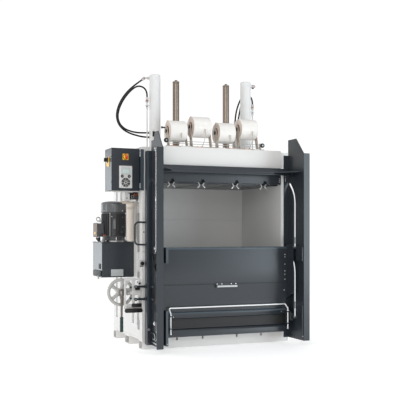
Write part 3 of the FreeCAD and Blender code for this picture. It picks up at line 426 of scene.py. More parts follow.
    def dome(self, o, d, r=5.0, h=2.4, mat=0):
        """rivet or button head"""
        pr = [(0, -0.5), (r, -0.5)] + [(r * math.cos(a), h * math.sin(a)) for a in (0.0, 0.35, 0.7, 1.05, 1.35)] + [(0, h)]
        self.lathe("z", o, pr, 16, mat, d=d)

    def make(self, name, body, mats, replaces=(), smooth=32.0, weight=False):
        me = bpy.data.meshes.new(name)
        me.from_pydata([tuple(v * MM) for v in self.v], [], self.f)
        me.validate()
        bm = bmesh.new()
        bm.from_mesh(me)
        for f, m in zip(bm.faces, self.m):
            f.material_index = m
        bmesh.ops.recalc_face_normals(bm, faces=bm.faces)
        finish_normals(bm, smooth)
        bm.to_mesh(me)
        bm.free()
        for m in mats:
            me.materials.append(m)
        ob = bpy.data.objects.new(name, me)
        COL.objects.link(ob)
        if weight:
            w = ob.modifiers.new("weighted", "WEIGHTED_NORMAL")
            w.keep_sharp = True
            w.weight = 100
        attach(ob, body)
        if replaces:
            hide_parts(*replaces)
        return ob


def finish_normals(bm, angle=32.0):
    lim = math.radians(angle)
    for f in bm.faces:
        f.smooth = True
    for e in bm.edges:
        e.smooth = len(e.link_faces) == 2 and e.calc_face_angle(0) < lim


def refine(name, mat, width=1.5, seg=1, angle=32.0, weight=False, flat=1.5, mats=None, pick=None):
    """a node's own shape with its edges broken, as bent and welded sheet or a cast piece has them"""
    src = node_obj(name)
    bm = bmesh.new()
    bm.from_mesh(src.data)
    bmesh.ops.remove_doubles(bm, verts=bm.verts, dist=2e-5)
    bmesh.ops.dissolve_limit(bm, angle_limit=math.radians(flat), verts=bm.verts, edges=bm.edges)
    lim = math.radians(angle)
    es = [e for e in bm.edges if len(e.link_faces) == 2 and e.calc_face_angle(0) > lim]
    if es and width > 0:
        bmesh.ops.bevel(bm, geom=es, offset=width * MM, offset_type="OFFSET", segments=seg, profile=0.5,
                        clamp_overlap=True, affect="EDGES")
    bmesh.ops.dissolve_degenerate(bm, edges=bm.edges, dist=1e-6)
    finish_normals(bm, 50.0 if seg > 1 else 32.0)
    me = bpy.data.meshes.new(name + "_shape")
    for f in bm.faces:
        f.material_index = 0
        if pick:
            f.material_index = pick(f)
    bm.to_mesh(me)
    bm.free()
    for m in (mats or [mat]):
        me.materials.append(m)
    ob = bpy.data.objects.new(name + "_shape", me)
    COL.objects.link(ob)
    if weight or seg > 1:
        w = ob.modifiers.new("weighted", "WEIGHTED_NORMAL")
        w.keep_sharp = True
        w.weight = 100
    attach(ob, BODY_OF[name])
    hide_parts(name)
    return ob


def arc(cx, cy, r, a0, a1, n):
    """points on an arc in degrees"""
    return [(cx + r * math.cos(math.radians(a0 + (a1 - a0) * k / n)), cy + r * math.sin(math.radians(a0 + (a1 - a0) * k / n)))
            for k in range(n + 1)]


def round_path(pts, r, n=6):
    """a polyline with its corners rounded to radius r"""
    P = [Vector(p) for p in pts]
    out = [P[0]]
    for i in range(1, len(P) - 1):
        a, b, c = P[i - 1], P[i], P[i + 1]
        u, w = (a - b).normalized(), (c - b).normalized()
        ang = u.angle(w)
        if ang > math.pi - 0.02:
            continue
        t = min(r / math.tan(ang / 2), 0.45 * (a - b).length, 0.45 * (c - b).length)
        p, q = b + u * t, b + w * t
        for k in range(n + 1):
            s = k / n
            out.append((p * (1 - s) + b * s).lerp(b * (1 - s) + q * s, s))
    out.append(P[-1])
    return out


def round_rect(x0, x1, y0, y1, r, n=5):
    """outline of a rectangle with round corners"""
    out = []
    for cx, cy, a in ((x1 - r, y1 - r, 0), (x0 + r, y1 - r, 90), (x0 + r, y0 + r, 180), (x1 - r, y0 + r, 270)):
        out += arc(cx, cy, r, a, a + 90, n)
    return out


# ------------------------------------------------------------------ cylinders
def cylinder(name, x, side):
    b = Build()
    top = 2396
    prof = [(28.1, 1700), (70.5, 1700), (72, 1701.5), (72, 1720), (70.5, 1722), (57, 1722), (53, 1724), (50.2, 1729),
            (50, 1733), (50, 2340), (50.9, 2342), (51.3, 2345), (50.9, 2348), (50, 2350), (50, top - 13)]
    prof += [(50 - 12 + 12 * math.cos(math.radians(a)), top - 12 + 12 * math.sin(math.radians(a))) for a in (15, 30, 45, 60, 75, 90)]
    prof += [(12, top), (10, top - 1.5), (0, top - 1.5), (0, top - 24), (42, top - 24), (42, 1708), (28.1, 1708)]
    b.lathe("z", (x, 0, 0), prof, 72, 0)
    for k in range(8):
        a = math.radians(22.5 + 45 * k)
        b.bolt((x + 62.5 * math.cos(a), 62.5 * math.sin(a), 1722), (0, 0, 1), 12, 1, washer=False)
    if side < 0:
        b.rod((x + side * 47, 0, 2362), (x + side * 55, 0, 2362), 15, 0, 24)
    else:
        b.rod((x + side * 47, 0, 2362), (x + side * 56, 0, 2362), 15, 0, 24)
    b.make(name + "_shape", "machine", [TUBEW, STEEL], (name,))


cylinder("cylinder_left", -451, -1)
cylinder("cylinder_right", 451, 1)

b = Build()
for x in (-451, 451):
    b.lathe("z", (x, 0, 0), [(0, 1490), (27, 1490), (28, 1491), (28, 2310), (41, 2310), (41.9, 2311), (41.9, 2320), (40.4, 2321),
                             (40.4, 2325), (41.9, 2326), (41.9, 2338), (40.4, 2339), (40.4, 2343), (41.9, 2344), (41.9, 2353),
                             (41, 2354), (0, 2354)], 48, 0)
b.make("piston_rods_shape", "platen", [CHROME], ("piston_rods",))

b = Build()
for x in (-249, 249):
    b.lathe("z", (x, 0, 0), [(0, 1490), (28.5, 1490), (30, 1491.5), (30, 2329), (28, 2331), (28, 2334), (30, 2335), (31, 2336),
                             (31, 2348), (30, 2350), (13, 2350), (12, 2351), (13, 2352), (12, 2354), (13, 2355), (12, 2357),
                             (13, 2358), (12, 2360), (12.6, 2362), (11, 2364), (6, 2364), (4, 2362), (0, 2362)], 60, 0,
            mats=None)
b.make("guide_rods_shape", "platen", [ROD, DARKSTEEL], ("guide_rods",))

b = Build()
for x in (-249, 249):
    b.lathe("z", (x, 0, 0), [(30.1, 1700), (61, 1700), (62, 1701), (62, 1711), (61, 1712), (47.5, 1712), (46, 1714), (46, 1722.5),
                             (44.5, 1724), (34, 1724), (32.5, 1722), (30.1, 1722)], 60, 0, closed=True)
    for k in range(6):
        a = math.radians(30 + 60 * k)
        b.cap_screw((x + 54 * math.cos(a), 54 * math.sin(a), 1712), (0, 0, 1), 5, 5, 0)
b.make("guide_bushes_shape", "machine", [STEEL], ("guide_bushes",))

# ------------------------------------------------------------------ return pipes and hose unions
b = Build()
for px, s in ((-525, 1), (525, -1)):
    b.tube(round_path([(px + s * 12, 0, 1734), (px, 0, 1734), (px, 0, 1760), (px, 0, 2088)], 9), 6, 0, 16)
    b.rod((px + s * 26, 0, 1734), (px + s * 6, 0, 1734), 9, 2, 20)
    b.hexa((px + s * 12, 0, 1734), (-s, 0, 0), 17, 9, 2)
    # bell end, small nut, clamp plate that reaches the tube, neck
    b.lathe("z", (px, 0, 0), [(0, 2080), (6.5, 2080), (7.5, 2084), (10.5, 2097), (11, 2101), (9, 2104), (0, 2104)], 28, 2)
    b.hexa((px, 0, 2104), (0, 0, 1), 19, 11, 2)
    b.prism([(q[0], q[1]) for q in round_rect(min(px - 18, px + s * 26), max(px + 18, px - 0), -16, 16, 8)], "z", 2116, 2121, 1, 0.8)
    b.box(px + s * 2, px + s * 29, -9, 9, 2117, 2120, 1, 0.6)
    b.cap_screw((px - s * 11, 0, 2121), (0, 0, 1), 3.5, 3, 2)
    b.rod((px, 0, 2121), (px, 0, 2142), 8.5, 2, 24)
b.make("cylinder_pipes_shape", "machine", [LIGHT, WHITE, STEEL], ("cylinder_pipes",))


def ferrule(b, a, z, r, mats=(0, 1), ring=True, nut=True):
    """crimped hose end along a to z: hexagon nut, coloured ring, ridged sleeve"""
    a, z = Vector(a), Vector(z)
    L = (z - a).length
    D = (z - a).normalized()
    if nut:
        b.hexa(a, D, r * 2.05, L * 0.3, 0)
    s = a + D * L * 0.3
    if ring:
        b.rod(s, s + D * L * 0.14, r * 1.05, 1, 28, 0.6)
        s = s + D * L * 0.14
    n = 5
    rem = (z - s).length
    pr = [(0, 0), (r * 0.85, 0)]
    for k in range(n):
        h = rem * k / n
        pr += [(r * 0.97, h + rem * 0.03), (r * 0.97, h + rem * 0.13), (r * 0.9, h + rem * 0.16)]
    pr += [(r * 0.9, rem), (r * 0.72, rem), (0, rem)]
    b.lathe("z", s, pr, 28, 0, d=D)


b = Build()
# left top: stub, bend, ring and sleeve towards the hose
b.rod((-500, 0, 2362), (-516, 0, 2362), 11, 2, 24)
b.hexa((-512, 0, 2362), (-1, 0, 0), 24, 11, 2)
b.tube(round_path([(-520, 0, 2362), (-543, 0, 2362), (-560, 0, 2350), (-566, 0, 2346)], 14), 9, 2, 20)
ferrule(b, (-547, 0, 2363), (-577, 0, 2340), 12)
# right top: stub, square block, ring and sleeve to the rear
b.rod((500, 0, 2362), (523, 0, 2362), 10, 2, 24)
b.hexa((505, 0, 2362), (1, 0, 0), 24, 9, 2)
b.box(519, 543, -12, 12, 2348, 2376, 0, 2.0)
b.cap_screw((531, -12, 2362), (0, -1, 0), 7, 3, 0)
b.rod((543, 0, 2360), (551, 0, 2360), 9, 1, 24)
b.hexa((529, 0, 2348), (0, 0, -1), 18, 9, 3)
ferrule(b, (531, 11, 2362), (531, 38, 2362), 13)
for px in (-525, 525):
    b.rod((px, 0, 2140), (px, 0, 2152), 8, 2, 24)
    ferrule(b, (px, 0, 2146), (px, 0, 2190), 13)
for z in (1846, 1886):
    b.rod((-452, 96, z), (-462, 96, z), 11, 2, 24)
    ferrule(b, (-456, 96, z), (-480, 96, z), 12.5)
for px in (392, 424):
    b.rod((px, 104, 1966), (px, 104, 1980), 10, 2, 24)
    ferrule(b, (px, 104, 1974), (px, 104, 2035), 12.5)
b.make("hose_fittings_shape", "machine", [STEEL, ORANGE, PLATE, BLACK], ("hose_fittings",))

# ------------------------------------------------------------------ strap rolls: wound band on a board core
ROLLS = [(-464, -287, 1853), (-251, -63, 1899), (-9, 169, 1858), (203, 390, 1900)]
for k, (x0, x1, z) in enumerate(ROLLS):
    rr = random.Random(40 + k)
    x0, x1 = x0 + 12, x1 - 12
    L = x1 - x0
    out = [(20.1, 60), (33, 60), (34, 64), (36.2, 64), (36.2, -3), (42.8, -3), (43, -0.5)]
    mats = [0, 0, 0, 0, 0, 0, 1, 1, 1, 1]
    mt = [3] * 3 + [2] * 3
    prof = list(out)
    # side face: turns of band, slightly uneven
    r = 43.5
    while r < 88.5:
        prof.append((r, rr.uniform(0.0, 1.1)))
        mt.append(1)
        r += rr.uniform(2.4, 4.2)
    prof.append((88.6, 0.4))
    mt.append(1)
    prof.append((90.2, 1.6))
    mt.append(1)
    # rim: bands side by side with a fine groove between
    h = 1.6
    while h < L - 16:
        w = rr.uniform(11.6, 13.6)
        top = 91 - rr.uniform(0.0, 0.7)
        prof += [(top, h + 0.8), (top, h + w - 0.8), (top - 0.75, h + w - 0.2)]
        mt += [0, 0, 0]
        h += w
    prof += [(90.7, h + 0.8), (90.7, L - 2.2), (89.4, L - 0.8)]
    mt += [0, 0, 1]
    r = 88.0
    while r > 46:
        prof.append((r, L - rr.uniform(0.0, 1.0)))
        mt.append(1)
        r -= rr.uniform(2.6, 4.4)
    prof.append((43.2, L - 0.4))
    mt.append(1)
    end = [(42.8, L + 3), (36.2, L + 3), (36.2, L - 20), (33.5, L - 20), (33, L - 3), (31, L - 5), (27, L - 5), (25, L - 3), (25, L + 1), (20.1, L + 1)]
    prof += end
    mt += [2, 2, 2, 3, 3, 3, 3, 3, 3, 3]
    b = Build()
    b.lathe("x", (x0, -330, z), prof, 80, 0, closed=True, mats=mt + [3] * (len(prof) - len(mt)))
    b.make("strap_roll_%d_shape" % (k + 1), "roll_%d" % (k + 1), [STRAP, STRAPEND, BOARD, BLACK],
           ("strap_roll_%d" % (k + 1),), smooth=28)

# ------------------------------------------------------------------ roll holders
b = Build()
b.box(-470, 440, -409, -367, 1714, 1718, 0, 1.0)
b.box(-470, 440, -409, -405, 1714, 1722, 0, 1.0)
for k, (x0, x1, z) in enumerate(ROLLS):
    x0, x1 = x0 + 12, x1 - 12
    for j, xa in enumerate((x0 - 11, x1 + 5)):
        out = [(-410, 1714), (-360, 1714), (-297, z + 18), (-300, z + 27), (-310, z + 32), (-346, z + 32), (-356, z + 27), (-362, z - 18)]
        b.prism(out, "x", xa, xa + 6, 0, 1.0)
        # bent foot with two bolts, round the plate's lower end
        fx = xa - 26 if j == 0 else xa + 6
        b.box(fx, fx + 26, -409, -362, 1714, 1719, 0, 1.2)
        for fy in (-398, -373):
            b.bolt((fx + 13, fy, 1719), (0, 0, 1), 10, 1)
        # slot plate and retaining clip over the axle
        sx = xa - 2.4 if j == 0 else xa + 6
        b.prism(round_rect(-346, -314, z - 26, z + 22, 8), "x", sx, sx + 2.4, 1, 0.5)
        d = -1 if j == 0 else 1
        ex = xa - 2.4 if j == 0 else xa + 8.4
        b.rod((ex, -330, z), (ex + d * 6, -330, z), 12, 2, 24)
        b.hexa((ex + d * 5, -330, z), (d, 0, 0), 14, 4, 1)
    # thin hook blade that leads the band over the first plate
    hp = [(-352, z + 26), (-336, z + 26), (-334, z + 52), (-338, z + 74), (-349, z + 88), (-364, z + 92), (-356, z + 82), (-349, z + 68), (-348, z + 50)]
    b.prism(hp, "x", x0 - 13.2, x0 - 11, 0, 0.6)
    # axle
    b.lathe("x", (x0, -330, z), [(0, -14), (18.5, -14), (20, -12.5), (20, x1 - x0 + 12.5), (18.5, x1 - x0 + 14), (0, x1 - x0 + 14)], 40, 2)
    # brake band that rests under the roll, thin and white, and a small pad at its end
    xs = x0 + 0.62 * (x1 - x0)
    b.tube(round_path([(xs - 16, -392, 1722), (xs - 16, -418, 1748), (xs, -421, z - 96), (xs, -424, z - 52)], 10), 2.6, 0, 10)
    b.prism([(-424, z - 62), (-421.4, z - 62), (-421.4, z - 24), (-424, z - 24)], "x", xs - 5, xs + 5, 0, 0.5)
# two thin rods across all holders, carried by the plates
for y, z in ((-383, 1744), (-374, 1766)):
    b.rod((-470, y, z), (418, y, z), 2.6, 1, 14)
for x in (-468, -258, -16, 196, 414):
    b.box(x - 3, x + 3, -392, -366, 1716, 1776, 0, 1.0)
    b.bolt((x, -392, 1745), (0, -1, 0), 9, 1, washer=False)
# swivel knobs at both ends: dark disc with a pale centre
for x, z, d in ((-486, 1767, -1), (428, 1758, 1)):
    b.rod((x - d * 24, -386, z), (x + d * 2, -386, z), 7, 1, 20)
    b.lathe("y", (x, -396, z), [(0, -8), (6, -8), (7, -6), (8.5, -6), (17, -8), (19.5, -5), (20, 0), (19.5, 12), (17, 14), (0, 14)], 32, 2,
            mats=[1, 1, 2, 2, 2, 2, 2, 2, 2, 2])
# guide stub left of the first roll, ring and stop right of the last one
b.rod((-508, -330, 1882), (-472, -330, 1882), 6.5, 2, 18)
b.box(-474, -455, -337, -323, 1874, 1886, 0, 1.0)
b.rod((-508, -330, 1882), (-496, -330, 1882), 9.5, 2, 20)
b.lathe("x", (404, -330, 1924), [(8, -3), (14, -3), (15, -2), (15, 2), (14, 3), (8, 3)], 28, 1, closed=True)
b.box(394, 402, -334, -326, 1916, 1932, 0, 0.8)
b.make("roll_holders_shape", "machine", [BEIGE, STEEL, BLACK], ("roll_holders",))

# ------------------------------------------------------------------ top deck, crossbeam, header
refine("top_deck", WHITE, 1.5)
b = Build()
# manifold blocks' plugs and plates on the deck, and small pads at its front edge
for y0 in (80, 108):
    b.cap_screw((-438, y0 + 6, 1912), (0, 0, 1), 5, 4, 1)
for z in (1760, 1800, 1840):
    b.cap_screw((-438, 74, z), (0, -1, 0), 6, 4, 1)
    b.cap_screw((408, 80, z), (0, -1, 0), 6, 4, 1)
b.box(-440, -427, 70, 75, 1868, 1900, 2, 1.0)
b.box(-554, -532, -235, -232, 1812, 1858, 2, 0.8)
for z in (1822, 1848):
    b.cap_screw((-543, -235, z), (0, -1, 0), 5.5, 4, 2)
for x0, x1, cu in ((-455, -400, 1), (-359, -263, 0), (-216, -156, 1), (-19, 57, 0), (94, 140, 1), (231, 300, 1), (344, 392, 0)):
    b.box(x0, x1, -418, -409, 1714, 1720, 3 if cu else 0, 1.0)
    for x in (x0 + 12, x1 - 12):
        b.bolt((x, -413.5, 1720), (0, 0, 1), 7, 2 if (x0 + int(x)) % 2 else 1, washer=False)
b.make("deck_fittings", "machine", [WHITE, STEEL, BLACK, COPPER])

# crossbeam: deep folded channel with slightly drawn-in lips
b = Build()
yo = -425
prof = [(yo + 62, 1714), (yo + 4, 1714)] + [(yo + 4 - 4 * math.sin(math.radians(a)), 1710 + 4 * math.cos(math.radians(a))) for a in (30, 60, 90)] + \
       [(yo, 1559)] + [(yo + 4 - 4 * math.cos(math.radians(a)), 1559 - 4 * math.sin(math.radians(a))) for a in (30, 60, 90)] + \
       [(yo + 62, 1555), (yo + 62, 1565), (yo + 10, 1565), (yo + 10, 1704), (yo + 62, 1704)]
b.prism(prof, "x", -600, 600, 0, 0.8)
for x in (-585, 585):
    for z in (1585, 1636, 1688):
        b.dome((x, yo, z), (0, -1, 0), 5, 2.2, 0)
b.make("front_crossbeam_shape", "machine", [WHITE], ("front_crossbeam",))

refine("header_plate", GREY, 1.5)
b = Build()
# sloping rain edge under the beam, rivets along the header, light dots at its right end
b.prism([(-425, 1553), (-427.5, 1553), (-433, 1541), (-433, 1537), (-429, 1537), (-425, 1543)], "x", -598, 598, 0, 0.6)
for x in (-575, -500, -378, -310, -240, -90, 0, 90, 240, 320, 378, 500):
    b.dome((x, -425, 1474), (0, -1, 0), 4.2, 1.8, 0)
for z in (1432, 1446, 1462, 1520):
    b.dome((584, -425, z), (0, -1, 0), 4.6, 2.2, 1)
b.make("header_trim", "machine", [GREY, STEEL])
# each notch: a bent guide bar on both sides, a dark throat plate and its pin
b = Build()
for x in (-440, -162, 162, 440):
    for s in (-1, 1):
        pts = round_path([(x + s * 62, -389, 1416), (x + s * 30, -389, 1416), (x + s * 12, -389, 1390), (x + s * 30, -389, 1372)], 9, 6)
        b.tube(pts, 4.2, 0, 14)
        b.rod((x + s * 62, -389, 1416), (x + s * 66, -389, 1416), 6.5, 1, 18)
        b.rod((x + s * 31, -393, 1371), (x + s * 31, -385, 1371), 6, 1, 18)
        b.hexa((x + s * 48, -394, 1416), (0, -1, 0), 10, 5, 1)
    b.prism([(1412, x - 22), (1412, x + 22), (1436, x + 8), (1436, x - 8)], "y", -394, -392, 2, 0.5)
b.make("strap_guides_shape", "machine", [LIGHT, STEEL, NEAR_BLACK_AND_PAINTED_SHADE], ("strap_guides",))

# ------------------------------------------------------------------ tank
b = Build()
b.box(-995, -713, -200, 99, 602, 894, 0, 2.0)
b.box(-1001, -713, -206, 105, 893, 899, 0, 1.2)
# rear edge fold and the dark edge strip next to the wall
b.box(-722, -713, -203, -199, 604, 893, 1, 0.8)
for x in (-988, -890, -812, -730):
    b.cap_screw((x, -193, 899), (0, 0, 1), 5, 4, 2)
    b.cap_screw((x, 92, 899), (0, 0, 1), 5, 4, 2)
for y in (-120, 20):
    b.cap_screw((-994, y, 899), (0, 0, 1), 5, 4, 2)
# blank nameplate with four pins
b.box(-916, -808, -204, -200, 608, 666, 3, 0.8)
b.box(-906, -818, -204.5, -203.6, 615, 659, 3, 0.3)
for x in (-911, -813):
    for z in (613, 661):
        b.dome((x, -204, z), (0, -1, 0), 2.6, 1.4, 2)
# sight glass on the left face: frame, glass, two screws
b.box(-1001, -995, -146, -106, 668, 714, 1, 1.5)
b.box(-1003, -1000, -140, -112, 678, 704, 4, 1.0)
for z in (672, 709):
    b.cap_screw((-1001, -126, z), (-1, 0, 0), 4, 2.5, 2)
# drain cover: black rounded bar along the foot of the left face, and the tap
b.prism(round_rect(-196, 60, 606, 656, 17, 6), "x", -1006, -995, 6, 3.0, 2)
b.rod((-1006, -120, 612), (-1006, -120, 590), 6, 2, 20)
b.hexa((-1006, -120, 604), (0, 0, -1), 17, 8, 2)
b.rod((-1006, -120, 592), (-1006, -120, 584), 8, 2, 20)
# folded foot and its bolts
b.box(-993, -716, -198, 97, 598, 603, 0, 1.5)
for x in (-960, -760):
    b.bolt((x, -60, 598), (0, 0, -1), 14, 2)
b.make("tank_shape", "machine", [GREY, BLACK, STEEL, PLATE, KEYS, SCREEN, RUBBER], ("tank",))

# ------------------------------------------------------------------ motor
mx, my = -850, -50
b = Build()
b.lathe("z", (mx, my, 899), [(0, 0), (113, 0), (114, 1), (114, 10.5), (112.5, 12), (104, 12.5), (104, 14), (100, 20), (97, 30), (97, 44), (0, 44)], 72, 0,
        mats=[0] * 5 + [2] * 5)
# dark lugs of the end shield that take the flange bolts
for k in range(4):
    a = math.radians(45 + 90 * k - 8)
    b.rod((mx + 97 * math.cos(a), my + 97 * math.sin(a), 911), (mx + 94 * math.cos(a), my + 94 * math.sin(a), 943), 15, 2, 24, 2.0)
for k in range(4):
    a = math.radians(45 + 90 * k - 8)
    b.bolt((mx + 101 * math.cos(a), my + 101 * math.sin(a), 913), (0, 0, 1), 17, 1, stub=5)
b.rod((mx - 6, my - 106, 911), (mx - 6, my - 106, 942), 5.5, 1, 20, 1.0)
b.hexa((mx - 6, my - 106, 911), (0, 0, 1), 15, 7, 1)
b.make("motor_flange_shape", "machine", [STEEL, CHROME, MOTOR], ("motor_flange",))

b = Build()
b.lathe("z", (mx, my, 899), [(0, 44), (104, 44), (106, 46), (106, 52), (104, 54), (90.5, 56), (90, 58), (90, 240), (92, 243), (101, 244), (102, 245),
                             (102, 253), (101, 254), (0, 254)], 72, 0)
for k in range(40):
    a = math.radians(9 * k)
    # a cast fin tapers towards its edge
    ca, sa = math.cos(a), math.sin(a)
    vs = []
    for r, hw in ((88, 2.4), (107.5, 1.3)):
        for s in (-1, 1):
            for z in (954, 1142):
                vs.append((mx + r * ca - s * hw * sa, my + r * sa + s * hw * ca, z))
    fcs = [(0, 1, 3, 2), (4, 6, 7, 5), (0, 4, 5, 1), (2, 3, 7, 6), (0, 2, 6, 4), (1, 5, 7, 3)]
    b.put(vs, fcs, 0)
# four long tie bolts and a small blank plate across some fins
for k in range(4):
    a = math.radians(45 + 90 * k + 11)
    x, y = mx + 99 * math.cos(a), my + 99 * math.sin(a)
    b.rod((x, y, 950), (x, y, 1150), 4.5, 1, 14)
    b.hexa((x, y, 954), (0, 0, -1), 13, 7, 1)
for a0, z0, z1 in ((-1.78, 1012, 1094),):
    ca, sa = math.cos(a0), math.sin(a0)
    cx, cy = mx + 108.5 * ca, my + 108.5 * sa
    vs = [(cx + s * 10 * -sa + t * 1.2 * ca, cy + s * 10 * ca + t * 1.2 * sa, z) for s in (-1, 1) for t in (-1, 1) for z in (z0, z1)]
    b.put(vs, [(0, 1, 3, 2), (4, 6, 7, 5), (0, 4, 5, 1), (2, 3, 7, 6), (0, 2, 6, 4), (1, 5, 7, 3)], 2)
for a0, z0 in ((-1.05, 1112), (-0.98, 1030), (-1.08, 984), (-2.0, 1118)):
    ca, sa = math.cos(a0), math.sin(a0)
    b.cap_screw((mx + 101 * ca, my + 101 * sa, z0), (ca, sa, 0), 5, 5, 1)
b.make("motor_body_shape", "machine", [MOTOR, STEEL, COWL], ("motor_body",))

b = Build()
zc = 1155
prof = [(105, 0), (108.5, 0), (109.5, 1), (109.8, 5), (109.8, 66)]
prof += [(109.8 - 22 + 22 * math.cos(math.radians(t)), 66 + 24 * math.sin(math.radians(t))) for t in (12, 24, 36, 48, 60, 75, 90)]
prof += [(72, 94.2), (52, 96.6), (28, 98.4), (0, 99), (0, 94), (84, 86), (100, 78), (106.5, 66), (106.5, 5)]
b.lathe("z", (mx, my, zc), prof, 96, 0, closed=False)
b.lathe("z", (mx, my, zc), [(106, -1.5), (110.2, -1.5), (111, -0.5), (111, 4), (110, 5), (106, 5)], 96, 1, closed=True)
for t in (-1.10, -2.67, 0.47, 2.04):
    ca, sa = math.cos(t), math.sin(t)
    b.cap_screw((mx + 109.5 * ca, my + 109.5 * sa, zc + 13), (ca, sa, 0), 7, 4, 2)
b.make("motor_cowl_shape", "machine", [COWL, MOTOR, STEEL], ("motor_cowl",))

tb = [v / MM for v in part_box("terminal_box")[0]] + [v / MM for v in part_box("terminal_box")[1]]
tx0, ty0, tx1, ty1, tz1 = tb[0], tb[1], tb[3], tb[4], tb[5]
tz0 = 941
b = Build()
b.prism(round_rect(ty0 + 4, ty1 - 4, tz0 + 4, tz1 - 4, 8, 4), "x", tx0 + 11, tx1, 0, 1.5)
# cover on the box's left face; its brownish tint is painted reflection
b.prism(round_rect(ty0, ty1, tz0, tz1, 10, 4), "x", tx0 + 2.2, tx0 + 10, 1, 2.5, 2)
b.prism(round_rect(ty0 + 2, ty1 - 2, tz0 + 2, tz1 - 2, 9, 4), "x", tx0 + 9.6, tx0 + 11.4, 2, 0.3)
for y in (ty0 + 10, ty1 - 10):
    for z in (tz0 + 10, tz1 - 10):
        b.cap_screw((tx0 + 2.2, y, z), (-1, 0, 0), 4.2, 2, 3)
b.box(tx0 + 1.4, tx0 + 3, -68, -32, tz0 + 24, tz0 + 44, 4, 0.4)
# ribs on the box's front side
for z in (tz0 + 30, tz0 + 62, tz0 + 94):
    b.box(tx0 + 14, tx1 - 4, ty0 + 2.6, ty0 + 5, z, z + 3, 0, 0.6)
# two cable glands below, dark, one longer than the other
for gx, gy, big in ((-988, -70, 1), (-988, -28, 0)):
    b.rod((gx, gy, 946), (gx, gy, 936), 14, 3, 24)
    b.hexa((gx, gy, 937), (0, 0, -1), 25, 9, 2)
    b.lathe("z", (gx, gy, 910 if big else 916), [(0, 0), (7, 0), (12, 3), (14, 9), (14, 19 if big else 13), (0, 19 if big else 13)], 24, 2)
# supply lead of the motor: out of the gland, round the flange and down to the tank's lid
b.tube(round_path([(-988, -28, 922), (-988, -28, 911), (-975, -20, 905), (-962, 40, 905), (-930, 70, 905)], 9), 4.6, 2, 12)
b.make("terminal_box_shape", "machine", [MOTOR, COVER, BLACK, STEEL, YELLOW], ("terminal_box",))
# riser pipe in front of the motor with a coloured union
b = Build()
b.rod((-962, -150, 899), (-962, -150, 952), 11.5, 0, 28, 1.5)
b.hexa((-962, -150, 899), (0, 0, 1), 28, 8, 0)
b.box(-975, -949, -162, -138, 950, 964, 3, 2.0)
b.rod((-968, -163, 957), (-968, -160, 957), 5, 2, 20)
b.rod((-955, -163, 957), (-955, -160, 957), 5, 2, 20)
b.rod((-962, -150, 964), (-962, -150, 974), 8, 3, 20)
b.rod((-934, -150, 899), (-934, -150, 922), 9, 3, 20)
b.hexa((-934, -150, 899), (0, 0, 1), 24, 8, 3)
b.dome((-934, -150, 922), (0, 0, 1), 8, 5, 1)
b.make("tank_risers", "machine", [COWL, STEEL, ORANGE, BLACK])

refine("lifting_eye", STEEL, 0.8)

# ------------------------------------------------------------------ valve group under the control box
b = Build()
b.box(-833, -790, -330, -322, 1250, 1328, 0, 1.0)
b.box(-833, -790, -322, -250, 1258, 1328, 1, 1.5)
b.hexa((-818, -330, 1268), (0, -1, 0), 15, 8, 3)
b.hexa((-798, -330, 1312), (0, -1, 0), 11, 6, 3)
# coil: barrel with windings, end cap and plug connectors
b.lathe("z", (-762, -291, 0), [(0, 1256), (15, 1256), (16, 1258), (16, 1264), (22, 1266), (22, 1276), (20.5, 1277), (20.5, 1282), (22, 1283), (22, 1292),
                               (20.5, 1293), (20.5, 1298), (22, 1299), (22, 1312), (16, 1314), (16, 1322), (0, 1322)], 36, 2,
        mats=[3] * 4 + [2] * 10 + [3] * 4)
b.lathe("y", (-762, -313, 1284), [(9, 0), (13, 0), (13.6, -1), (13.6, -3), (13, -4), (9, -4)], 28, 3, closed=True)
b.box(-740, -713, -300, -268, 1262, 1310, 5, 1.5)
for x in (-746, -722):
    b.prism(round_rect(1300, 1326, x - 10, x + 10, 4, 3), "y", -318, -282, 2, 1.2)
    b.rod((x, -319, 1306), (x, -317, 1306), 5, 4, 16)
b.box(-756, -716, -319.5, -317.5, 1296, 1300, 4, 0.5)
b.tube(round_path([(-722, -316, 1302), (-722, -326, 1298), (-716, -330, 1276), (-722, -322, 1252), (-728, -300, 1240)], 10), 4, 2, 12)
b.make("valve_block_shape", "machine", [WHITE, LIGHT, BLACK, STEEL, ORANGE, DARKSTEEL], ("valve_block",))

b = Build()
b.lathe("z", (-815, -290, 1232), [(0, 0), (29, 0), (33, 3), (35, 6), (35, 13), (34, 15), (31, 17), (15, 18), (0, 18)], 48, 0)
for k in range(10):
    a = math.radians(36 * k)
    b.box(-815 + 34 * math.cos(a) - 1.5, -815 + 34 * math.cos(a) + 1.5, -290 + 34 * math.sin(a) - 1.5, -290 + 34 * math.sin(a) + 1.5, 1234, 1246, 0, 0.5)
b.make("filler_cap_shape", "machine", [BEIGE], ("filler_cap",))
# drip tray: sloping disc that carries the group, and the return filter's bowl below it
b = Build()
b.prism(round_rect(-858, -722, -336, -236, 34, 10), "z", 1238, 1245, 0, 2.5, 2)
b.prism(round_rect(-838, -740, -328, -246, 30, 10), "z", 1226, 1238.5, 0, 2.0, 2)
b.lathe("z", (-774, -290, 0), [(0, 904), (20, 906), (30, 914), (33, 926), (34, 1180), (35, 1186), (35, 1228), (0, 1228)], 48, 1)
b.lathe("z", (-774, -290, 0), [(33.5, 1176), (36, 1178), (36, 1196), (33.5, 1198)], 48, 0, closed=True)
b.box(-750, -713, -304, -276, 1206, 1224, 0, 1.0)
b.make("return_filter", "machine", [BEIGE, BOWL, STEEL])

# ------------------------------------------------------------------ control box
b = Build()
x0, x1, y0, y1, z0, z1 = -974, -731, -400, -218, 1328, 1680
t = 2.5
out = round_rect(x0, x1, y0, y1, 4, 3)
inn = round_rect(x0 + t, x1 - t, y0 - 5, y1 - t, 3, 3)
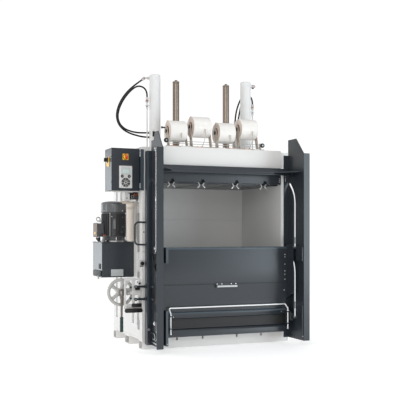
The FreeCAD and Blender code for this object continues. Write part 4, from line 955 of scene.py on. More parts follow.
# shell: back, sides, top and bottom of one bent sheet
b.box(x0, x0 + t, y0, y1, z0, z1, 0, 0.8)
b.box(x1 - t, x1, y0, y1, z0, z1, 0, 0.8)
b.box(x0, x1, y1 - t, y1, z0, z1, 0, 0.8)
b.box(x0, x1, y0, y1, z1 - t, z1, 0, 0.8)
b.box(x0, x1, y0, y1, z0, z0 + t, 0, 0.8)
# rain lip round the opening and the sealing
b.box(x0 + 8, x1 - 8, y0 - 1, y0 + 6, z1 - 16, z1 - 12, 0, 0.8)
b.box(x0 + 8, x0 + 12, y0 - 1, y0 + 6, z0 + 12, z1 - 12, 0, 0.8)
b.box(x1 - 12, x1 - 8, y0 - 1, y0 + 6, z0 + 12, z1 - 12, 0, 0.8)
b.box(x0 + 8, x1 - 8, y0 - 1, y0 + 6, z0 + 12, z0 + 16, 0, 0.8)
# mounting plate and what stands on it: two rows of devices with their ducts
b.box(x0 + 16, x1 - 16, y1 - 12, y1 - 9, z0 + 18, z1 - 18, 2, 0.6)
for zz in (1620, 1500, 1380):
    b.box(x0 + 22, x1 - 22, y1 - 42, y1 - 12, zz + 14, zz + 40, 3, 1.0)
for zz, ws in ((1560, (36, 36, 54, 45)), (1440, (72, 45, 27, 27))):
    xx = x0 + 28
    b.box(x0 + 22, x1 - 22, y1 - 16, y1 - 11, zz + 10, zz + 45, 2, 0.5)
    for w in ws:
        b.box(xx, xx + w - 2, y1 - 78, y1 - 16, zz - 8, zz + 56, 3 if w > 40 else 4, 1.5)
        xx += w
# connecting channel to the side wall, and the door's hinges
b.box(x1, -713, -390, -228, 1342, 1666, 0, 1.0)
for z in (1350, 1614):
    b.rod((-727, -420, z), (-727, -420, z + 44), 5.5, 1, 24)
    for q in (z + 14.5, z + 29.5):
        b.lathe("z", (-727, -420, q), [(5.4, -0.5), (5.9, -0.5), (5.9, 0.5), (5.4, 0.5)], 24, 4, closed=True)
    b.box(-724, -719, -423, -380, z, z + 44, 1, 0.6)
    for q in (z + 10, z + 34):
        b.cap_screw((-719, -398, q), (1, 0, 0), 3.4, 2, 1)
# light lip and cable entries under the box
b.box(x0 + 6, x1 - 2, y0 + 2, y0 + 12, z0 - 9, z0, 5, 1.0)
for xx in (-900, -868):
    b.hexa((xx, -250, z0), (0, 0, -1), 22, 6, 5)
for zz in (1350, 1660):
    b.cap_screw((x0, -250, zz), (-1, 0, 0), 5, 3, 1)
# side switch's yellow shield on the left face
b.prism([(-349, 1534), (-343, 1524), (-272, 1538), (-266, 1546), (-266, 1606), (-272, 1612), (-343, 1614), (-349, 1608)], "x", x0 - 3, x0, 6, 0.8)
b.prism(round_rect(-331, -279, 1562, 1614, 26, 8), "x", x0 - 4, x0 - 2.6, 4, 0.4)
for y, zz in ((-340, 1534), (-274, 1548), (-340, 1606), (-274, 1604)):
    b.cap_screw((x0 - 3, y, zz), (-1, 0, 0), 3, 2, 1)
# fixing strip that covers the joint with the side wall, in the lighter anthracite as painted highlight
b.box(-726, -697, -430, -425.2, 1332, 1676, 7, 1.0)
for zz in (1372, 1504, 1636):
    b.cap_screw((-704, -430, zz), (0, -1, 0), 4, 2.4, 0)
b.make("control_box_shape", "machine", [GREY, STEEL, PLATE, LIGHT, BLACK, WHITE, YELLOW, ANTHRACITE_PAINTED_HIGHLIGHT], ("control_box",))

# door of the control box: folded sheet, open towards the box
b = Build()
dx0, dx1, dy0, dy1 = -974, -733, -420, -400.5
b.box(dx0, dx1, dy0, dy0 + 3, z0, z1, 0, 1.5)
b.box(dx0, dx0 + 3, dy0, dy1, z0, z1, 0, 1.0)
b.box(dx1 - 3, dx1, dy0, dy1, z0, z1, 0, 1.0)
b.box(dx0, dx1, dy0, dy1, z1 - 3, z1, 0, 1.0)
b.box(dx0, dx1, dy0, dy1, z0, z0 + 3, 0, 1.0)
for xa, xb, za, zb in ((dx0 + 8, dx0 + 16, z0 + 8, z1 - 8), (dx1 - 16, dx1 - 8, z0 + 8, z1 - 8), (dx0 + 8, dx1 - 8, z0 + 8, z0 + 16), (dx0 + 8, dx1 - 8, z1 - 16, z1 - 8)):
    b.box(xa, xb, dy1 - 4, dy1 + 0.0, za, zb, 1, 0.8)
# two locks on the closing side's edge
for z in (1400, 1610):
    b.cap_screw((dx0, -411, z), (-1, 0, 0), 5, 2, 0)
b.make("control_door_shape", "panel_door", [GREY, BLACK, STEEL], ("control_door",))

# keypad: pale panel with a bevelled edge, display, two buttons' collars, ring of eight keys
b = Build()
yf = -424
b.prism([(p[1], p[0]) for p in round_rect(-910, -798, 1349, 1534, 5, 4)], "y", yf, yf + 4, 0, 1.0)
b.prism([(p[1], p[0]) for p in round_rect(-905, -897, 1354, 1529, 3, 3)], "y", yf - 0.7, yf + 0.5, 4, 0.3)
# display: raised frame round sloped glass
b.prism([(p[1], p[0]) for p in round_rect(-892, -816, 1462, 1518, 4, 4)], "y", -426.2, yf + 0.5, 1, 0.8)
b.box(-886, -822, -426.9, -426, 1470, 1510, 2, 0.4)
for x in (-884, -824):
    b.lathe("y", (x, yf, 1447), [(9.4, -3.2), (12, -3.2), (13, -2.4), (13, 0.5), (9.4, 0.5)], 32, 3, closed=True)
# round plate under the keys
cx, cz = -854, 1396
b.lathe("y", (cx, yf, cz), [(0, -1.0), (38.5, -1.0), (39.5, -0.4), (40, 0.5), (0, 0.5)], 64, 0)
for k in range(8):
    c = 45 * k + 22.5
    w = 19.5
    o = [(cz + 37.5 * math.sin(math.radians(c + d)), cx + 37.5 * math.cos(math.radians(c + d))) for d in [-w + 2 * w * i / 8 for i in range(9)]]
    i_ = [(cz + 14 * math.sin(math.radians(c + d)), cx + 14 * math.cos(math.radians(c + d))) for d in [w - 4 - 2 * (w - 4) * i / 6 for i in range(7)]]
    b.prism(o + i_, "y", yf - 2.6, yf - 0.6, 3, 0.4)
b.lathe("y", (cx, yf, cz), [(0, -3.0), (7, -3.0), (8, -2.2), (8, -0.5), (0, -0.5)], 32, 3)
for k in range(4):
    a = math.radians(90 * k)
    px, pz = cx + 26 * math.cos(a + math.radians(22.5)), cz + 26 * math.sin(a + math.radians(22.5))
    b.lathe("y", (px, yf, pz), [(0, -3.1), (2.2, -3.1), (2.2, -2.4), (0, -2.4)], 12, 1)
for x in (-904, -804):
    for z in (1355, 1528):
        b.dome((x, yf, z), (0, -1, 0), 2.2, 0.9, 1)
b.make("keypad_panel_shape", "panel_door", [LIGHT, PLATE, SCREEN, KEYS, WHITE], ("keypad_panel",))

for nm, body, x in (("keypad_button_left", "button_left", -884), ("keypad_button_right", "button_right", -824)):
    b = Build()
    b.lathe("y", (x, -429.5, 1447), [(0, 0.5), (4.5, 0.3), (7.2, 0), (8.4, 0.5), (9, 1.3), (9, 7), (0, 7)], 32, 0)
    b.lathe("y", (x, -429.5, 1447), [(0, -0.4), (2.2, -0.4), (2.6, 0), (2.6, 1.0), (0, 1.0)], 20, 1)
    b.make(nm + "_shape", body, [KEYS, LIGHT], (nm,))

b = Build()
b.prism([(p[1], p[0]) for p in round_rect(-880, -829, 1582, 1634, 4, 4)], "y", -423, -420, 0, 0.8)
b.lathe("y", (-854.5, -423, 1608), [(19.6, -1.2), (21.5, -1.2), (22.5, -0.4), (22.5, 0.5), (19.6, 0.5)], 40, 1, closed=True)
for k in range(12):
    a = math.radians(30 * k)
    if k % 3:
        b.rod((-854.5 + 24.4 * math.cos(a), -423.6, 1608 + 24.4 * math.sin(a)), (-854.5 + 24.4 * math.cos(a), -422.5, 1608 + 24.4 * math.sin(a)), 0.8, 1, 8, 0.2)
for x in (-876, -833):
    for z in (1586, 1630):
        b.cap_screw((x, -423, z), (0, -1, 0), 2.2, 1.4, 2)
# dark frame behind the yellow plate
b.box(-884, -825, -421.4, -420, 1578, 1638, 1, 0.4)
b.make("isolator_plate_shape", "panel_door", [YELLOW, BLACK, STEEL], ("isolator_plate",))

b = Build()
b.lathe("y", (-854.5, -438, 1608), [(0, 0), (15.5, 0), (18, 1.2), (19, 3), (19, 12.5), (18.2, 14.2), (0, 14.2)], 40, 2)
# winged handle, thicker in the middle, with a marker line
hp = [(1588, -6.5), (1588, 6.5), (1600, 8.5), (1616, 8.5), (1628, 6.5), (1628, -6.5), (1616, -8.5), (1600, -8.5)]
b.prism([(z, -854.5 + x) for z, x in hp], "y", -452, -437, 0, 1.6, 2)
b.box(-855.3, -853.7, -452.4, -451, 1612, 1626, 1, 0.2)
for k in range(16):
    a = math.radians(22.5 * k)
    x, z = -854.5 + 18.7 * math.cos(a), 1608 + 18.7 * math.sin(a)
    b.rod((x, -435.5, z), (x, -426, z), 0.9, 2, 8, 0.3)
b.make("isolator_knob_shape", "isolator", [RED, WHITE, YELLOW], ("isolator_knob",))

b = Build()
b.lathe("x", (-992, -305, 1588), [(0, 0), (13.5, 0), (16, 1.2), (17, 3), (17, 13), (16, 14.2), (0, 14.2)], 36, 0)
b.prism([(y - 305, z) for y, z in ((-4, 1572), (4, 1572), (5, 1582), (5, 1594), (4, 1604), (-4, 1604), (-5, 1594), (-5, 1582))], "x", -1008, -991, 0, 1.4, 2)
b.box(-1008.4, -1007, -306, -304, 1594, 1603, 1, 0.2)
b.make("side_switch_knob_shape", "side_switch", [BLACK, WHITE], ("side_switch_knob",))

# ------------------------------------------------------------------ walls and base
refine("left_side_wall", WHITE, 2.0)
refine("right_side_wall", WHITE, 2.0)
refine("rear_wall", WHITE, 1.5)
refine("base_frame", WHITE, 1.2)

b = Build()
# front edge of the left wall: thin grey plates as painted shade of slots, seam, dark knob on its plate, bolts
for z0, z1 in ((814, 1146), (580, 649), (159, 246)):
    b.prism(round_rect(-361, -306, z0, z1, 6, 4), "x", -714.2, -712.6, 4, 0.5)
b.box(-712, -640, -426, -424.6, 818, 820.4, 2, 0.3)
b.dome((-697, -425, 985), (0, -1, 0), 6, 3, 3)
b.prism([(p[1], p[0]) for p in round_rect(-737, -688, 694, 752, 5, 3)], "y", -428, -424.6, 1, 0.8)
b.lathe("y", (-713, -428, 722), [(0, -14), (10, -14), (15, -12.5), (17, -9), (17, -3), (14, 0.5), (0, 0.5)], 36, 3)
b.box(-731, -700, -431, -427.5, 694, 700, 3, 0.6)
b.box(-731, -726, -431, -427.5, 694, 706, 3, 0.6)
# bolts on the left face, in the recess ribs
for y in (-318, -178, 178, 318):
    for z in (240, 640, 1180):
        if not (z > 560 and y == -178):
            b.dome((-713 if y in (1,) else -691, y, z), (-1, 0, 0), 7, 3, 0)
for y in (-395, -245, -100, 0, 110, 240, 395):
    for z in (130, 1560, 1660):
        b.dome((-713, y, z), (-1, 0, 0), 5, 2.2, 0)
b.make("left_wall_details", "machine", [WHITE, LIGHT, DARKSTEEL, BLACK, SLOT])
b = Build()
for y in (-395, -245, 0, 240, 395):
    for z in (130, 620, 1100, 1560, 1660):
        b.dome((672, y, z), (1, 0, 0), 5, 2.2, 0)
for z in (1250, 1310):
    b.bolt((672, -20, z), (1, 0, 0), 17, 1)
b.box(671.4, 674, -60, 20, 1230, 1330, 0, 0.8)
b.make("right_wall_details", "machine", [WHITE, STEEL])

# front edge of the base: bent liners that narrow the four Y-shaped channel mouths to the strap's width
b = Build()
for x in (-400, -162, 162, 400):
    for q in (-1, 1):
        pts = [(66.5, x + q * 6.4), (94.5, x + q * 6.4), (94.5, x + q * 19.8), (90, x + q * 18)]
        b.prism(pts, "y", -424.4, -414, 0, 0.4)
        b.box(min(x + q * 6.4, x + q * 7.4), max(x + q * 6.4, x + q * 7.4), -424.4, -396, 30, 68, 0, 0.2)
b.make("channel_liners", "machine", [WHITE])
# floor of the chamber: strap channel cover strips and two wear plates
b = Build()
for x0, x1 in ((-590, -412), (-388, -174), (-150, 150), (174, 388), (412, 590)):
    b.box(x0, x1, -410, 380, 94.6, 97, 0, 0.8)
    for y in (-390, 360):
        for x in (x0 + 14, x1 - 14):
            b.dome((x, y, 97), (0, 0, 1), 5, 1.6, 1)
b.make("chamber_floor_plates", "machine", [PLATE, STEEL])
# chamber lining: horizontal stiffening beads and rivets at the back and sides
b = Build()
for z in (420, 760, 1100, 1440):
    b.prism([(385.4, z - 7), (382.6, z - 4), (382.6, z + 4), (385.4, z + 7)], "x", -590, 590, 0, 0.5)
for x in (-560, -300, 0, 300, 560):
    for z in (300, 590, 930, 1270, 1520):
        b.dome((x, 385, z), (0, -1, 0), 6, 2.2, 0)
for s in (-1, 1):
    for y in (-380, -200, 0, 200, 360):
        for z in (300, 760, 1220, 1500):
            b.dome((s * 600, y, z), (-s, 0, 0), 6, 2.2, 0)
b.make("chamber_rivets", "machine", [WHITE])

# ------------------------------------------------------------------ platen
refine("press_platen", GREY, 1.5)
b = Build()
for x in (-451, -249, 249, 451):
    for k in range(6):
        a = math.radians(30 + 60 * k)
        b.bolt((x + 46 * math.cos(a), 46 * math.sin(a), 1490), (0, 0, 1), 13, 0, washer=False)
    b.lathe("z", (x, 0, 1490), [(28.3 if abs(x) == 451 else 30.3, 0), (37, 0), (38, 1), (38, 9), (36, 11), (28.3 if abs(x) == 451 else 30.3, 11)], 40, 0, closed=True)
for y in (-372, 372):
    for x in (-520, -300, -60, 60, 300, 520):
        b.dome((x, y, 1440), (0, 0, 1), 6, 3, 0)
b.make("platen_fasteners", "platen", [STEEL])

# ------------------------------------------------------------------ hinge side
b = Build()
for z in (300, 880, 1460):
    b.lathe("z", (704, -452, 0), [(0, z - 36), (15.5, z - 36), (17, z - 34.5), (17, z - 2), (16, z - 0.5), (11, z - 0.5), (11, z + 59), (10, z + 60.5), (0, z + 60.5)], 36, 0)
    b.lathe("z", (704, -452, 0), [(0, z - 40), (8, z - 40), (8, z - 36), (0, z - 36)], 24, 1)
    b.box(672, 704, -421, -405, z - 36, z - 0.5, 0, 1.2)
    b.box(696, 712, -446, -405, z - 36, z - 0.5, 0, 1.2)
b.make("hinge_pins_shape", "machine", [STEEL, STEEL], ("hinge_pins",))
refine("hinge_leaves", GREY, 1.0)

# ------------------------------------------------------------------ door lock
b = Build()
wx, wy, wz = -875, -345, 481
# cut plate in front of the wheel: uprights and rails of one sheet
for xa, xb in ((-859, -845), (-792, -767), (-735, -713)):
    b.box(xa, xb, -400, -392, 345, 598, 0, 1.4)
b.box(-859, -713, -400.4, -391.6, 345, 362, 0, 1.4)
b.box(-859, -713, -400.4, -391.6, 581, 598, 0, 1.4)
b.box(-721, -713, -392, -300, 345, 598, 0, 1.2)
b.prism([(-392, 345), (-392, 372), (-352, 345)], "x", -728, -721, 0, 0.8)
b.box(-905, -713, -312, -304, 451, 511, 0, 1.4)
b.lathe("y", (wx, -320, wz), [(15.2, 0), (27, 0), (29, 1.5), (30, 4), (30, 22), (28, 24), (15.2, 24)], 44, 0, closed=True)
for x in (-740,):
    for z in (462, 500):
        b.bolt((x, -312, z), (0, -1, 0), 10, 1)
for z in (380, 560):
    b.bolt((-721, -330, z), (-1, 0, 0), 13, 1)
# catch pieces between the uprights: guide rails with rounded ends, rollers, spring and wedge
b.prism([(p[1], p[0]) for p in round_rect(-858, -706, 313, 347, 15, 8)], "y", -426, -401, 3, 2.0, 2)
b.prism([(p[1], p[0]) for p in round_rect(-800, -706, 358, 388, 13, 8)], "y", -420, -401, 3, 2.0, 2)
b.prism([(p[1], p[0]) for p in round_rect(-846, -804, 362, 388, 5, 4)], "y", -410, -401, 6, 1.2)
b.prism([(520, -850), (590, -850), (590, -800)], "y", -396, -392, 6, 0.8)
for z in (522, 512):
    b.rod((-766, -403, z), (-724, -403, z), 5, 3, 16)
b.box(-764, -730, -416, -400, 500, 514, 3, 1.5)
b.box(-738, -724, -424, -400, 548, 562, 3, 1.5)
b.box(-738, -724, -424, -400, 418, 436, 3, 1.5)
b.box(-792, -716, -414, -400, 462, 496, 0, 2.5)
b.rod((-816, -407, 479), (-716, -407, 479), 11, 0, 32, 1.5)
b.lathe("x", (-830, -407, 479), [(0, 0), (12, 0), (15, 2), (15, 12), (12, 14), (0, 14)], 32, 1)
for z in (524, 432):
    b.lathe("y", (-806, -404, z), [(0, -12), (7, -12), (9, -10), (9, 4), (0, 4)], 24, 2)
b.make("lock_bracket_shape", "machine", [WHITE, STEEL, GRIP, BLACK, PLATE, DARKSTEEL, LIGHT], ("lock_bracket",))

# handwheel: cast rim, five flared spokes, hub, spindle with thread
b = Build()
R = 103
rim = []
for k in range(24):
    a = 2 * math.pi * k / 24
    rim.append((R + 13.6 * math.cos(a), 12.0 * math.sin(a)))
b.lathe("y", (wx, wy, wz), rim, 96, 0, closed=True)
for k in range(5):
    a = math.radians(90 - 18 - 72 * k)
    U, W = Vector((math.cos(a), 0, math.sin(a))), Vector((-math.sin(a), 0, math.cos(a)))
    Y = Vector((0, 1, 0))
    rings = []
    for r, w, h, dy in ((18, 21, 11, 0), (34, 17, 9.5, 1.0), (56, 14, 8, 1.5), (78, 15.5, 7.5, 1), (96, 21, 8, 0)):
        c = Vector((wx, wy + dy, wz)) + U * r
        rings.append([c + W * (w * math.cos(t)) + Y * (h * math.sin(t)) for t in [2 * math.pi * i / 16 for i in range(16)]])
    vs = [p for q in rings for p in q]
    fs = []
    for i in range(len(rings) - 1):
        for j in range(16):
            fs.append((i * 16 + j, i * 16 + (j + 1) % 16, (i + 1) * 16 + (j + 1) % 16, (i + 1) * 16 + j))
    fs.append(tuple(range(15, -1, -1)))
    fs.append(tuple(range((len(rings) - 1) * 16, len(rings) * 16)))
    b.put(vs, fs, 0)
    # raised rib along each spoke
    b.tube([Vector((wx, wy - 8.5, wz)) + U * 24, Vector((wx, wy - 6, wz)) + U * 92], 3.2, 0, 12)
b.lathe("y", (wx, wy, wz), [(0, -18), (22, -18), (25, -16.5), (26, -14), (26, 15), (24, 20), (15, 20), (15, 40)]
        + [q for k in range(13) for q in ((15, 44 + 6 * k), (13.4, 47 + 6 * k))] + [(15, 122), (13.5, 124), (0, 124)], 40, 0,
        mats=[0] * 7 + [1] * 29)
b.rod((wx, wy - 45, wz), (wx, wy - 16, wz), 6, 1, 20)
b.lathe("y", (wx, wy - 45, wz), [(0, 0), (9, 0), (11, 1), (11, 3.2), (10, 4), (0, 4)], 28, 1)
b.make("handwheel_shape", "lock_wheel", [WHEEL, STEEL], ("handwheel",))

b = Build()
b.box(wx - 28, wx + 28, -292, -268, wz - 28, wz + 28, 0, 2.5)
b.box(wx + 26, -745, -288, -272, wz - 10, wz + 10, 0, 1.5)
for z in (wz - 20, wz + 20):
    for x in (wx - 20, wx + 20):
        b.cap_screw((x, -292, z), (0, -1, 0), 4.0, 2.4, 1)
b.make("lock_nut_shape", "lock_nut", [STEEL, DARKSTEEL], ("lock_nut",))

b = Build()
b.lathe("y", (wx, wy - 40, wz), [(6.4, 0), (23, 0), (26, 1.5), (27, 4), (27, 14), (26, 16.5), (23, 18), (6.4, 18)], 48, 0, closed=True)
# ratchet teeth round the rim, the pawl housing that the lever grows from, and its screws
for k in range(24):
    a = 2 * math.pi * k / 24
    x, z = wx + 26.4 * math.cos(a), wz + 26.4 * math.sin(a)
    b.rod((x, wy - 37, z), (x, wy - 25, z), 1.5, 1, 8, 0.3)
b.prism([(wz - 16, wx - 20), (wz - 16, wx + 20), (wz - 46, wx + 14), (wz - 60, wx + 11), (wz - 60, wx - 11), (wz - 46, wx - 14)], "y", wy - 38.5, wy - 23.5, 0, 2.0, 2)
b.prism([(wz - 44, wx - 11), (wz - 44, wx + 11), (wz - 222, wx + 7.5), (wz - 222, wx - 7.5)], "y", wy - 36, wy - 26, 0, 2.0, 2)
b.cap_screw((wx, wy - 38.5, wz - 36), (0, -1, 0), 6, 2.4, 1)
b.make("ratchet_lever_shape", "lever", [LEVERST, DARKSTEEL], ("ratchet_lever",))
b = Build()
z0 = wz - 330
gp = [(0, 0), (9, 0), (13, 2), (15, 6), (15, 12)]
h = 16
while h < 112:
    gp += [(15, h), (13.2, h + 2), (13.2, h + 5), (15, h + 7)]
    h += 11
gp += [(15, 118), (13.5, 122), (10.5, 125), (0, 125)]
b.lathe("z", (wx, wy - 31, z0), gp, 40, 0)
b.make("lever_grip_shape", "lever", [GRIP], ("lever_grip",))

# ------------------------------------------------------------------ bale door frame
refine("door_left_plate", GREY, 1.4)
refine("door_right_plate", GREY, 1.4)
refine("door_stile", GREY, 1.4)
refine("ledge_crossmember", GREY, 1.2)
refine("bale_door_panel", GREY, 1.2)

b = Build()
# screws down the stile, and bolts down the outer face
for z in (120, 330, 560, 800, 1150, 1400, 1600):
    b.cap_screw((-669, -488, z), (0, -1, 0), 4, 2.6, 0)
for z in (90, 420, 690, 1000, 1320, 1600):
    b.dome((-650, -700, z), (-1, 0, 0), 5, 2.4, 0)
    b.dome((-650, -520, z), (-1, 0, 0), 5, 2.4, 0)
# bolts that carry the guards, bright
b.bolt((-608, -750, 84), (0, -1, 0), 9, 1, washer=False)
b.bolt((-608, -750, 748), (0, -1, 0), 7, 0, washer=False)
# foot bracket at the lower end with its bolt and two bent fittings, bar across them
b.prism([(60, -690), (60, -650), (196, -650), (210, -662), (210, -690)], "y", -497, -489, 0, 1.5)
b.bolt((-676, -497, 176), (0, -1, 0), 13, 1)
b.tube([(-652, -500, 150), (-656, -500, 150)] + round_path([(-656, -505, 150), (-656, -575, 148), (-656, -598, 120), (-656, -575, 96), (-656, -545, 104)], 16), 4, 1, 14)
b.tube(round_path([(-656, -600, 92), (-656, -640, 116), (-656, -668, 150), (-656, -650, 180), (-656, -622, 168)], 16), 4, 1, 14)
b.tube([(-656, -512, 76), (-656, -700, 66)], 5.0, 1, 14)
b.prism([(-505, 46), (-620, 46), (-620, 60), (-505, 84)], "x", -652, -650, 2, 0.5)
# two black wedges that guide the loading door, and a near-black plate between the lock arms as painted shade of the
# hollow there
b.prism([(-578, 788), (-646, 792), (-652, 776), (-636, 738), (-588, 706), (-574, 712)], "x", -658, -650, 2, 2.0, 2)
b.prism([(-540, 702), (-578, 704), (-622, 660), (-662, 606), (-652, 600), (-634, 604), (-560, 672), (-538, 690)], "x", -658, -650, 2, 2.0, 2)
b.prism([(p[0], p[1]) for p in round_rect(-562, -494, 402, 552, 5, 4)], "x", -653, -650, 3, 0.8)
for z in (428, 532):
    b.prism([(p[0], p[1]) for p in round_rect(-560, -490, z - 10, z + 10, 4, 4)], "x", -658, -650, 0, 1.0)
    b.cap_screw((-658, -545, z), (-1, 0, 0), 5, 2.6, 1)
# painted highlight: strips of the lighter anthracite along the edges of the guards, the flange and the stile
for za, zb in ((735, 855), (68, 349)):
    b.box(-618.2, -597.8, -750.7, -749.2, za, zb, 4, 0.4)
b.box(-690.4, -674, -488.7, -487.4, 47, 1659, 4, 0.4)
b.make("left_frame_details", "bale_door", [GREY, STEEL, BLACK, NEAR_BLACK_AND_PAINTED_SHADE, ANTHRACITE_PAINTED_HIGHLIGHT])

b = Build()
for z in (90, 420, 690, 1000, 1320, 1600):
    b.dome((650, -700, z), (1, 0, 0), 5, 2.4, 0)
for z in (1640, 1700, 1760):
    b.dome((642, -494, z), (-1, 0, 0), 6, 2.4, 2)
b.bolt((636, -750, 84), (0, -1, 0), 8, 1, washer=False)
b.box(642, 644, -612, -590, 1476, 1494, 1, 0.4)
# fixed eye of the lock rod on the inner face
for z in (1440, 1452, 1466, 1480):
    b.dome((612, -488, z), (0, -1, 0), 4.6, 2.0, 1)
b.make("right_frame_details", "bale_door", [GREY, STEEL, BLACK, ANTHRACITE_PAINTED_HIGHLIGHT])

b = Build()
r = 34
pts = [(-690, -461, 880), (-700, -461, 880)] + [(-788 + r - r * math.sin(math.radians(a)), -461, 880 + r - r * math.cos(math.radians(a))) for a in range(0, 91, 10)] + \
      [(-788 + r - r * math.cos(math.radians(a)), -461, 1066 - r + r * math.sin(math.radians(a))) for a in range(0, 91, 10)] + [(-700, -461, 1066), (-690, -461, 1066)]
b.tube(pts, 8, 0, 24)
for z in (880, 1066):
    b.lathe("x", (-690, -461, z), [(0, -5), (9.5, -5), (12, -1.5), (12.5, 0), (0, 0)], 32, 0)
b.make("door_handle_shape", "bale_door", [GREY], ("door_handle",))

b = Build()
for z in (532, 428):
    b.box(-794, -690, -474, -452, z - 9, z + 9, 0, 2.5)
    b.box(-794, -776, -486, -474, z - 14, z + 14, 0, 2.5)
    b.box(-700, -690, -480, -446, z - 15, z + 15, 0, 2.0)
    b.cap_screw((-785, -486, z), (0, -1, 0), 5, 3, 1)
b.make("lock_arms_shape", "bale_door", [GREY, STEEL], ("lock_arms",))

b = Build()
b.rod((-660, -630, 822), (-660, -630, 1654), 4, 0, 16)
for z0, z1 in ((808, 826), (1650, 1672)):
    b.box(-672, -650, -640, -620, z0, z1, 0, 1.5)
b.hexa((-660, -630, 826), (0, 0, 1), 13, 7, 0)
b.hexa((-660, -630, 1650), (0, 0, -1), 13, 7, 0)
for z in (1250,):
    b.lathe("z", (-660, -630, z), [(0, -9), (6.4, -9), (7, -8), (7, 8), (6.4, 9), (0, 9)], 24, 0)
    b.box(-656, -650, -636, -624, z - 4, z + 4, 0, 0.8)
b.make("guide_wires_shape", "bale_door", [CHROME], ("guide_wires",))

# ------------------------------------------------------------------ sliding loading door
refine("sliding_door", GREY, 1.3)
b = Build()
# rounded top lip, in the lighter anthracite as painted highlight
b.tube([(-609, -511, 852), (609, -511, 852)], 4.5, 4, 16)
b.prism([(-516, 855.2), (-520.6, 849.4), (-520.6, 838), (-519.6, 838), (-519.6, 849), (-515.5, 854.4)], "x", -609, 609, 4, 0.3)
# convex stiffener under the lift bar, with a strip of the lighter anthracite along its top as painted highlight, and
# black sheets in the recess below it as painted shade
b.prism([(-518, 309), (-523, 308.5), (-528, 306), (-531, 301), (-532, 294), (-531, 283), (-528.5, 272), (-524, 262), (-518, 256)], "x", -592, 592, 0, 1.2, 2)
b.prism([(-518, 310.4), (-523.2, 309.7), (-528.8, 307), (-532, 301.4), (-532.8, 296), (-531.8, 296), (-531, 300.6), (-528, 305.6), (-523, 308), (-518, 308.8)], "x", -591, 591, 4, 0.3)
b.box(-596, 596, -507.4, -505.6, 176, 252, 5, 0.5)
b.box(-596, 596, -520, -506, 246, 255, 5, 0.5)
# seam: overlap edge of the upper sheet with a near-black strip under it as painted shade, and rivets beside it
b.box(-600, 600, -521.6, -519, 545, 547.5, 0, 0.5)
b.box(-600, 600, -521.0, -519.6, 538, 541, 2, 0.3)
for x in (-410, -330, -200, -150, 210, 330, 450, 560):
    b.dome((x, -520, 556), (0, -1, 0), 3.6, 1.6, 0)
for x in (-90, 235, 470):
    b.dome((x, -520, 812), (0, -1, 0), 4.0, 1.8, 0)
    b.dome((x + 4, -520, 792), (0, -1, 0), 2.6, 1.4, 0)
for z in (786, 764, 700, 640, 610, 566):
    b.dome((588, -520, z), (0, -1, 0), 4.0, 2.0, 3)
b.dome((584, -514, 470), (0, -1, 0), 4.2, 2.0, 3)
# lower run: bolts at both ends of the recess
b.bolt((-474, -529, 275), (0, -1, 0), 9, 1, washer=False)
b.bolt((545, -530, 284), (0, -1, 0), 9, 1, washer=False)
# eyes' nuts
for x in (-505, 599):
    for z in (179, 283):
        b.lathe("z", (x, -554, z), [(6.4, -5.2), (11, -5.2), (12, -4.2), (12, -3.4), (6.4, -3.4)], 28, 1, closed=True)
    b.box(x - 4, x + 4, -524, -508, 162, 300, 0, 1.0)
b.make("loading_door_details", "loading_door", [GREY, STEEL, NEAR_BLACK_AND_PAINTED_SHADE, WHITE, ANTHRACITE_PAINTED_HIGHLIGHT, BLACK])

b = Build()
for s in (-1, 1):
    for z in (850, 235):
        a = s * 618
        b.lathe("x", (0, -600, z), [(0, a), (10, a), (11, a + s), (11, a + s * 37), (17, a + s * 38.5), (17, a + s * 46), (11, a + s * 46), (11, a + s * 51), (10, a + s * 52), (0, a + s * 52)], 32, 0)
        b.lathe("x", (0, -600, z), [(0, a - s * 9), (13, a - s * 9), (15, a - s * 7.5), (15, a + s * 0.5), (0, a + s * 0.5)], 28, 1)
b.make("slide_pins_shape", "loading_door", [CHROME, BLACK], ("slide_pins",))

b = Build()
b.prism([(p[1], p[0]) for p in round_rect(-88, 116, 503, 549, 5, 4)], "y", -526, -520, 0, 1.0)
b.lathe("x", (-80, -546, 521), [(0, 0), (7.5, 0), (9, 1.5), (9, 186.5), (7.5, 188), (0, 188)], 28, 1)
b.box(-80, 108, -552, -541, 516.5, 525.5, 1, 2.2)
for x in (-62, 76):
    b.box(x, x + 14, -546, -524, 514, 528, 1, 1.5)
for x in (-74, -30, 58, 102):
    b.bolt((x, -526, 541), (0, -1, 0), 9, 2, washer=False)
for x in (-55, 83):
    b.bolt((x, -552, 521), (0, -1, 0), 8, 2, washer=False)
b.make("door_grip_shape", "loading_door", [GREY, PLATE, CHROME], ("door_grip",))

b = Build()
# lift bar: its near-white colour is painted sheen
path = round_path([(-505, -554, 134), (-505, -554, 308), (-516, -536, 349), (582, -536, 349), (599, -554, 312), (599, -554, 134)], 15, 8)
b.tube(path, 6, 0, 20)
for x in (-505, 599):
    b.lathe("z", (x, -554, 0), [(0, 287.4), (9.2, 287.4), (10, 288.2), (10, 294.2), (9.2, 295.2), (0, 295.2)], 28, 0)
    b.lathe("z", (x, -554, 0), [(0, 131), (8, 131), (9, 132), (9, 140), (8, 141), (0, 141)], 28, 0)
b.make("lift_bar_shape", "lift_bar", [LIFT_PAINTED_SHEEN], ("lift_bar",))

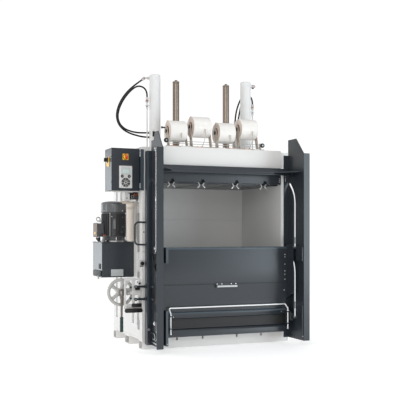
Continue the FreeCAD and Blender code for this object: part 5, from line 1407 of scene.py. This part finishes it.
# ------------------------------------------------------------------ floor, light
fl = bpy.data.meshes.new("floor")
fl.from_pydata([(-30, -30, 0), (30, -30, 0), (30, 30, 0), (-30, 30, 0)], [], [(0, 1, 2, 3)])
floor = bpy.data.objects.new("floor", fl)
COL.objects.link(floor)
fm = material("floor_white", (238, 238, 238), rough=0.55, var=0.003, bump=0.0, spec=0.25)
_fb = [n for n in fm.node_tree.nodes if n.type == "BSDF_PRINCIPLED"][0]
_fb.inputs["Emission Color"].default_value = (1, 1, 1, 1)
_fb.inputs["Emission Strength"].default_value = 0.46
fl.materials.append(fm)

world = bpy.data.worlds.new("world")
SC.world = world
world.use_nodes = True
wt = world.node_tree
wt.nodes.clear()
wo = wt.nodes.new("ShaderNodeOutputWorld")
wmix = wt.nodes.new("ShaderNodeMixShader")
wl = wt.nodes.new("ShaderNodeBackground")
wl.inputs[0].default_value = (1.0, 1.0, 1.0, 1)
wl.inputs[1].default_value = 0.82
wc = wt.nodes.new("ShaderNodeBackground")
wc.inputs[0].default_value = (1, 1, 1, 1)
wc.inputs[1].default_value = 1.05
lp = wt.nodes.new("ShaderNodeLightPath")
# soft box all round: brighter from the left and above, darker from the front right
wtc = wt.nodes.new("ShaderNodeTexCoord")
wdot = wt.nodes.new("ShaderNodeVectorMath")
wdot.operation = "DOT_PRODUCT"
wdot.inputs[1].default_value = (-0.62, 0.12, 0.22)
wt.links.new(wtc.outputs["Generated"], wdot.inputs[0])
wmap = wt.nodes.new("ShaderNodeMapRange")
wmap.inputs["From Min"].default_value = -0.65
wmap.inputs["From Max"].default_value = 0.65
wmap.inputs["To Min"].default_value = 0.40
wmap.inputs["To Max"].default_value = 0.80
wt.links.new(wdot.outputs["Value"], wmap.inputs["Value"])
wt.links.new(wmap.outputs["Result"], wl.inputs[1])
wt.links.new(lp.outputs["Is Camera Ray"], wmix.inputs[0])
wt.links.new(wl.outputs[0], wmix.inputs[1])
wt.links.new(wc.outputs[0], wmix.inputs[2])
wt.links.new(wmix.outputs[0], wo.inputs[0])


def area(name, loc, target, size, energy, size_y=None, colour=(1, 1, 1)):
    d = bpy.data.lights.new(name, "AREA")
    d.color = colour
    d.energy = energy
    d.size = size
    if size_y:
        d.shape = "RECTANGLE"
        d.size_y = size_y
    o = bpy.data.objects.new(name, d)
    o.location = loc
    o.rotation_mode = "QUATERNION"
    o.rotation_quaternion = (Vector(target) - Vector(loc)).to_track_quat("-Z", "Y")
    o.visible_camera = False
    COL.objects.link(o)
    return o


area("key_left", (-3.2, -5.4, 3.0), (0, 0, 1.1), 2.2, 45, 2.2)
area("panel_rear_left", (-3.3, 4.2, 1.05), (-0.7, 0, 0.95), 2.8, 35, 2.2, (0.87, 0.95, 1.0))
area("panel_front_right", (4.3, -5.8, 1.5), (0.4, 0, 1.1), 2.6, 112, 3.2, (0.81, 0.93, 1.0))
area("panel_top", (0.3, -2.8, 4.9), (0.2, 0, 1.0), 3.0, 24, 2.0, (0.94, 0.98, 1.0))
area("strip_left", (-5.5, -0.3, 1.5), (-0.8, -0.2, 1.2), 0.5, 22, 3.0)
area("strip_front", (-1.25, -7.2, 1.7), (-0.8, 0, 1.3), 0.45, 12, 2.4)
SC.view_settings.view_transform = "Standard"
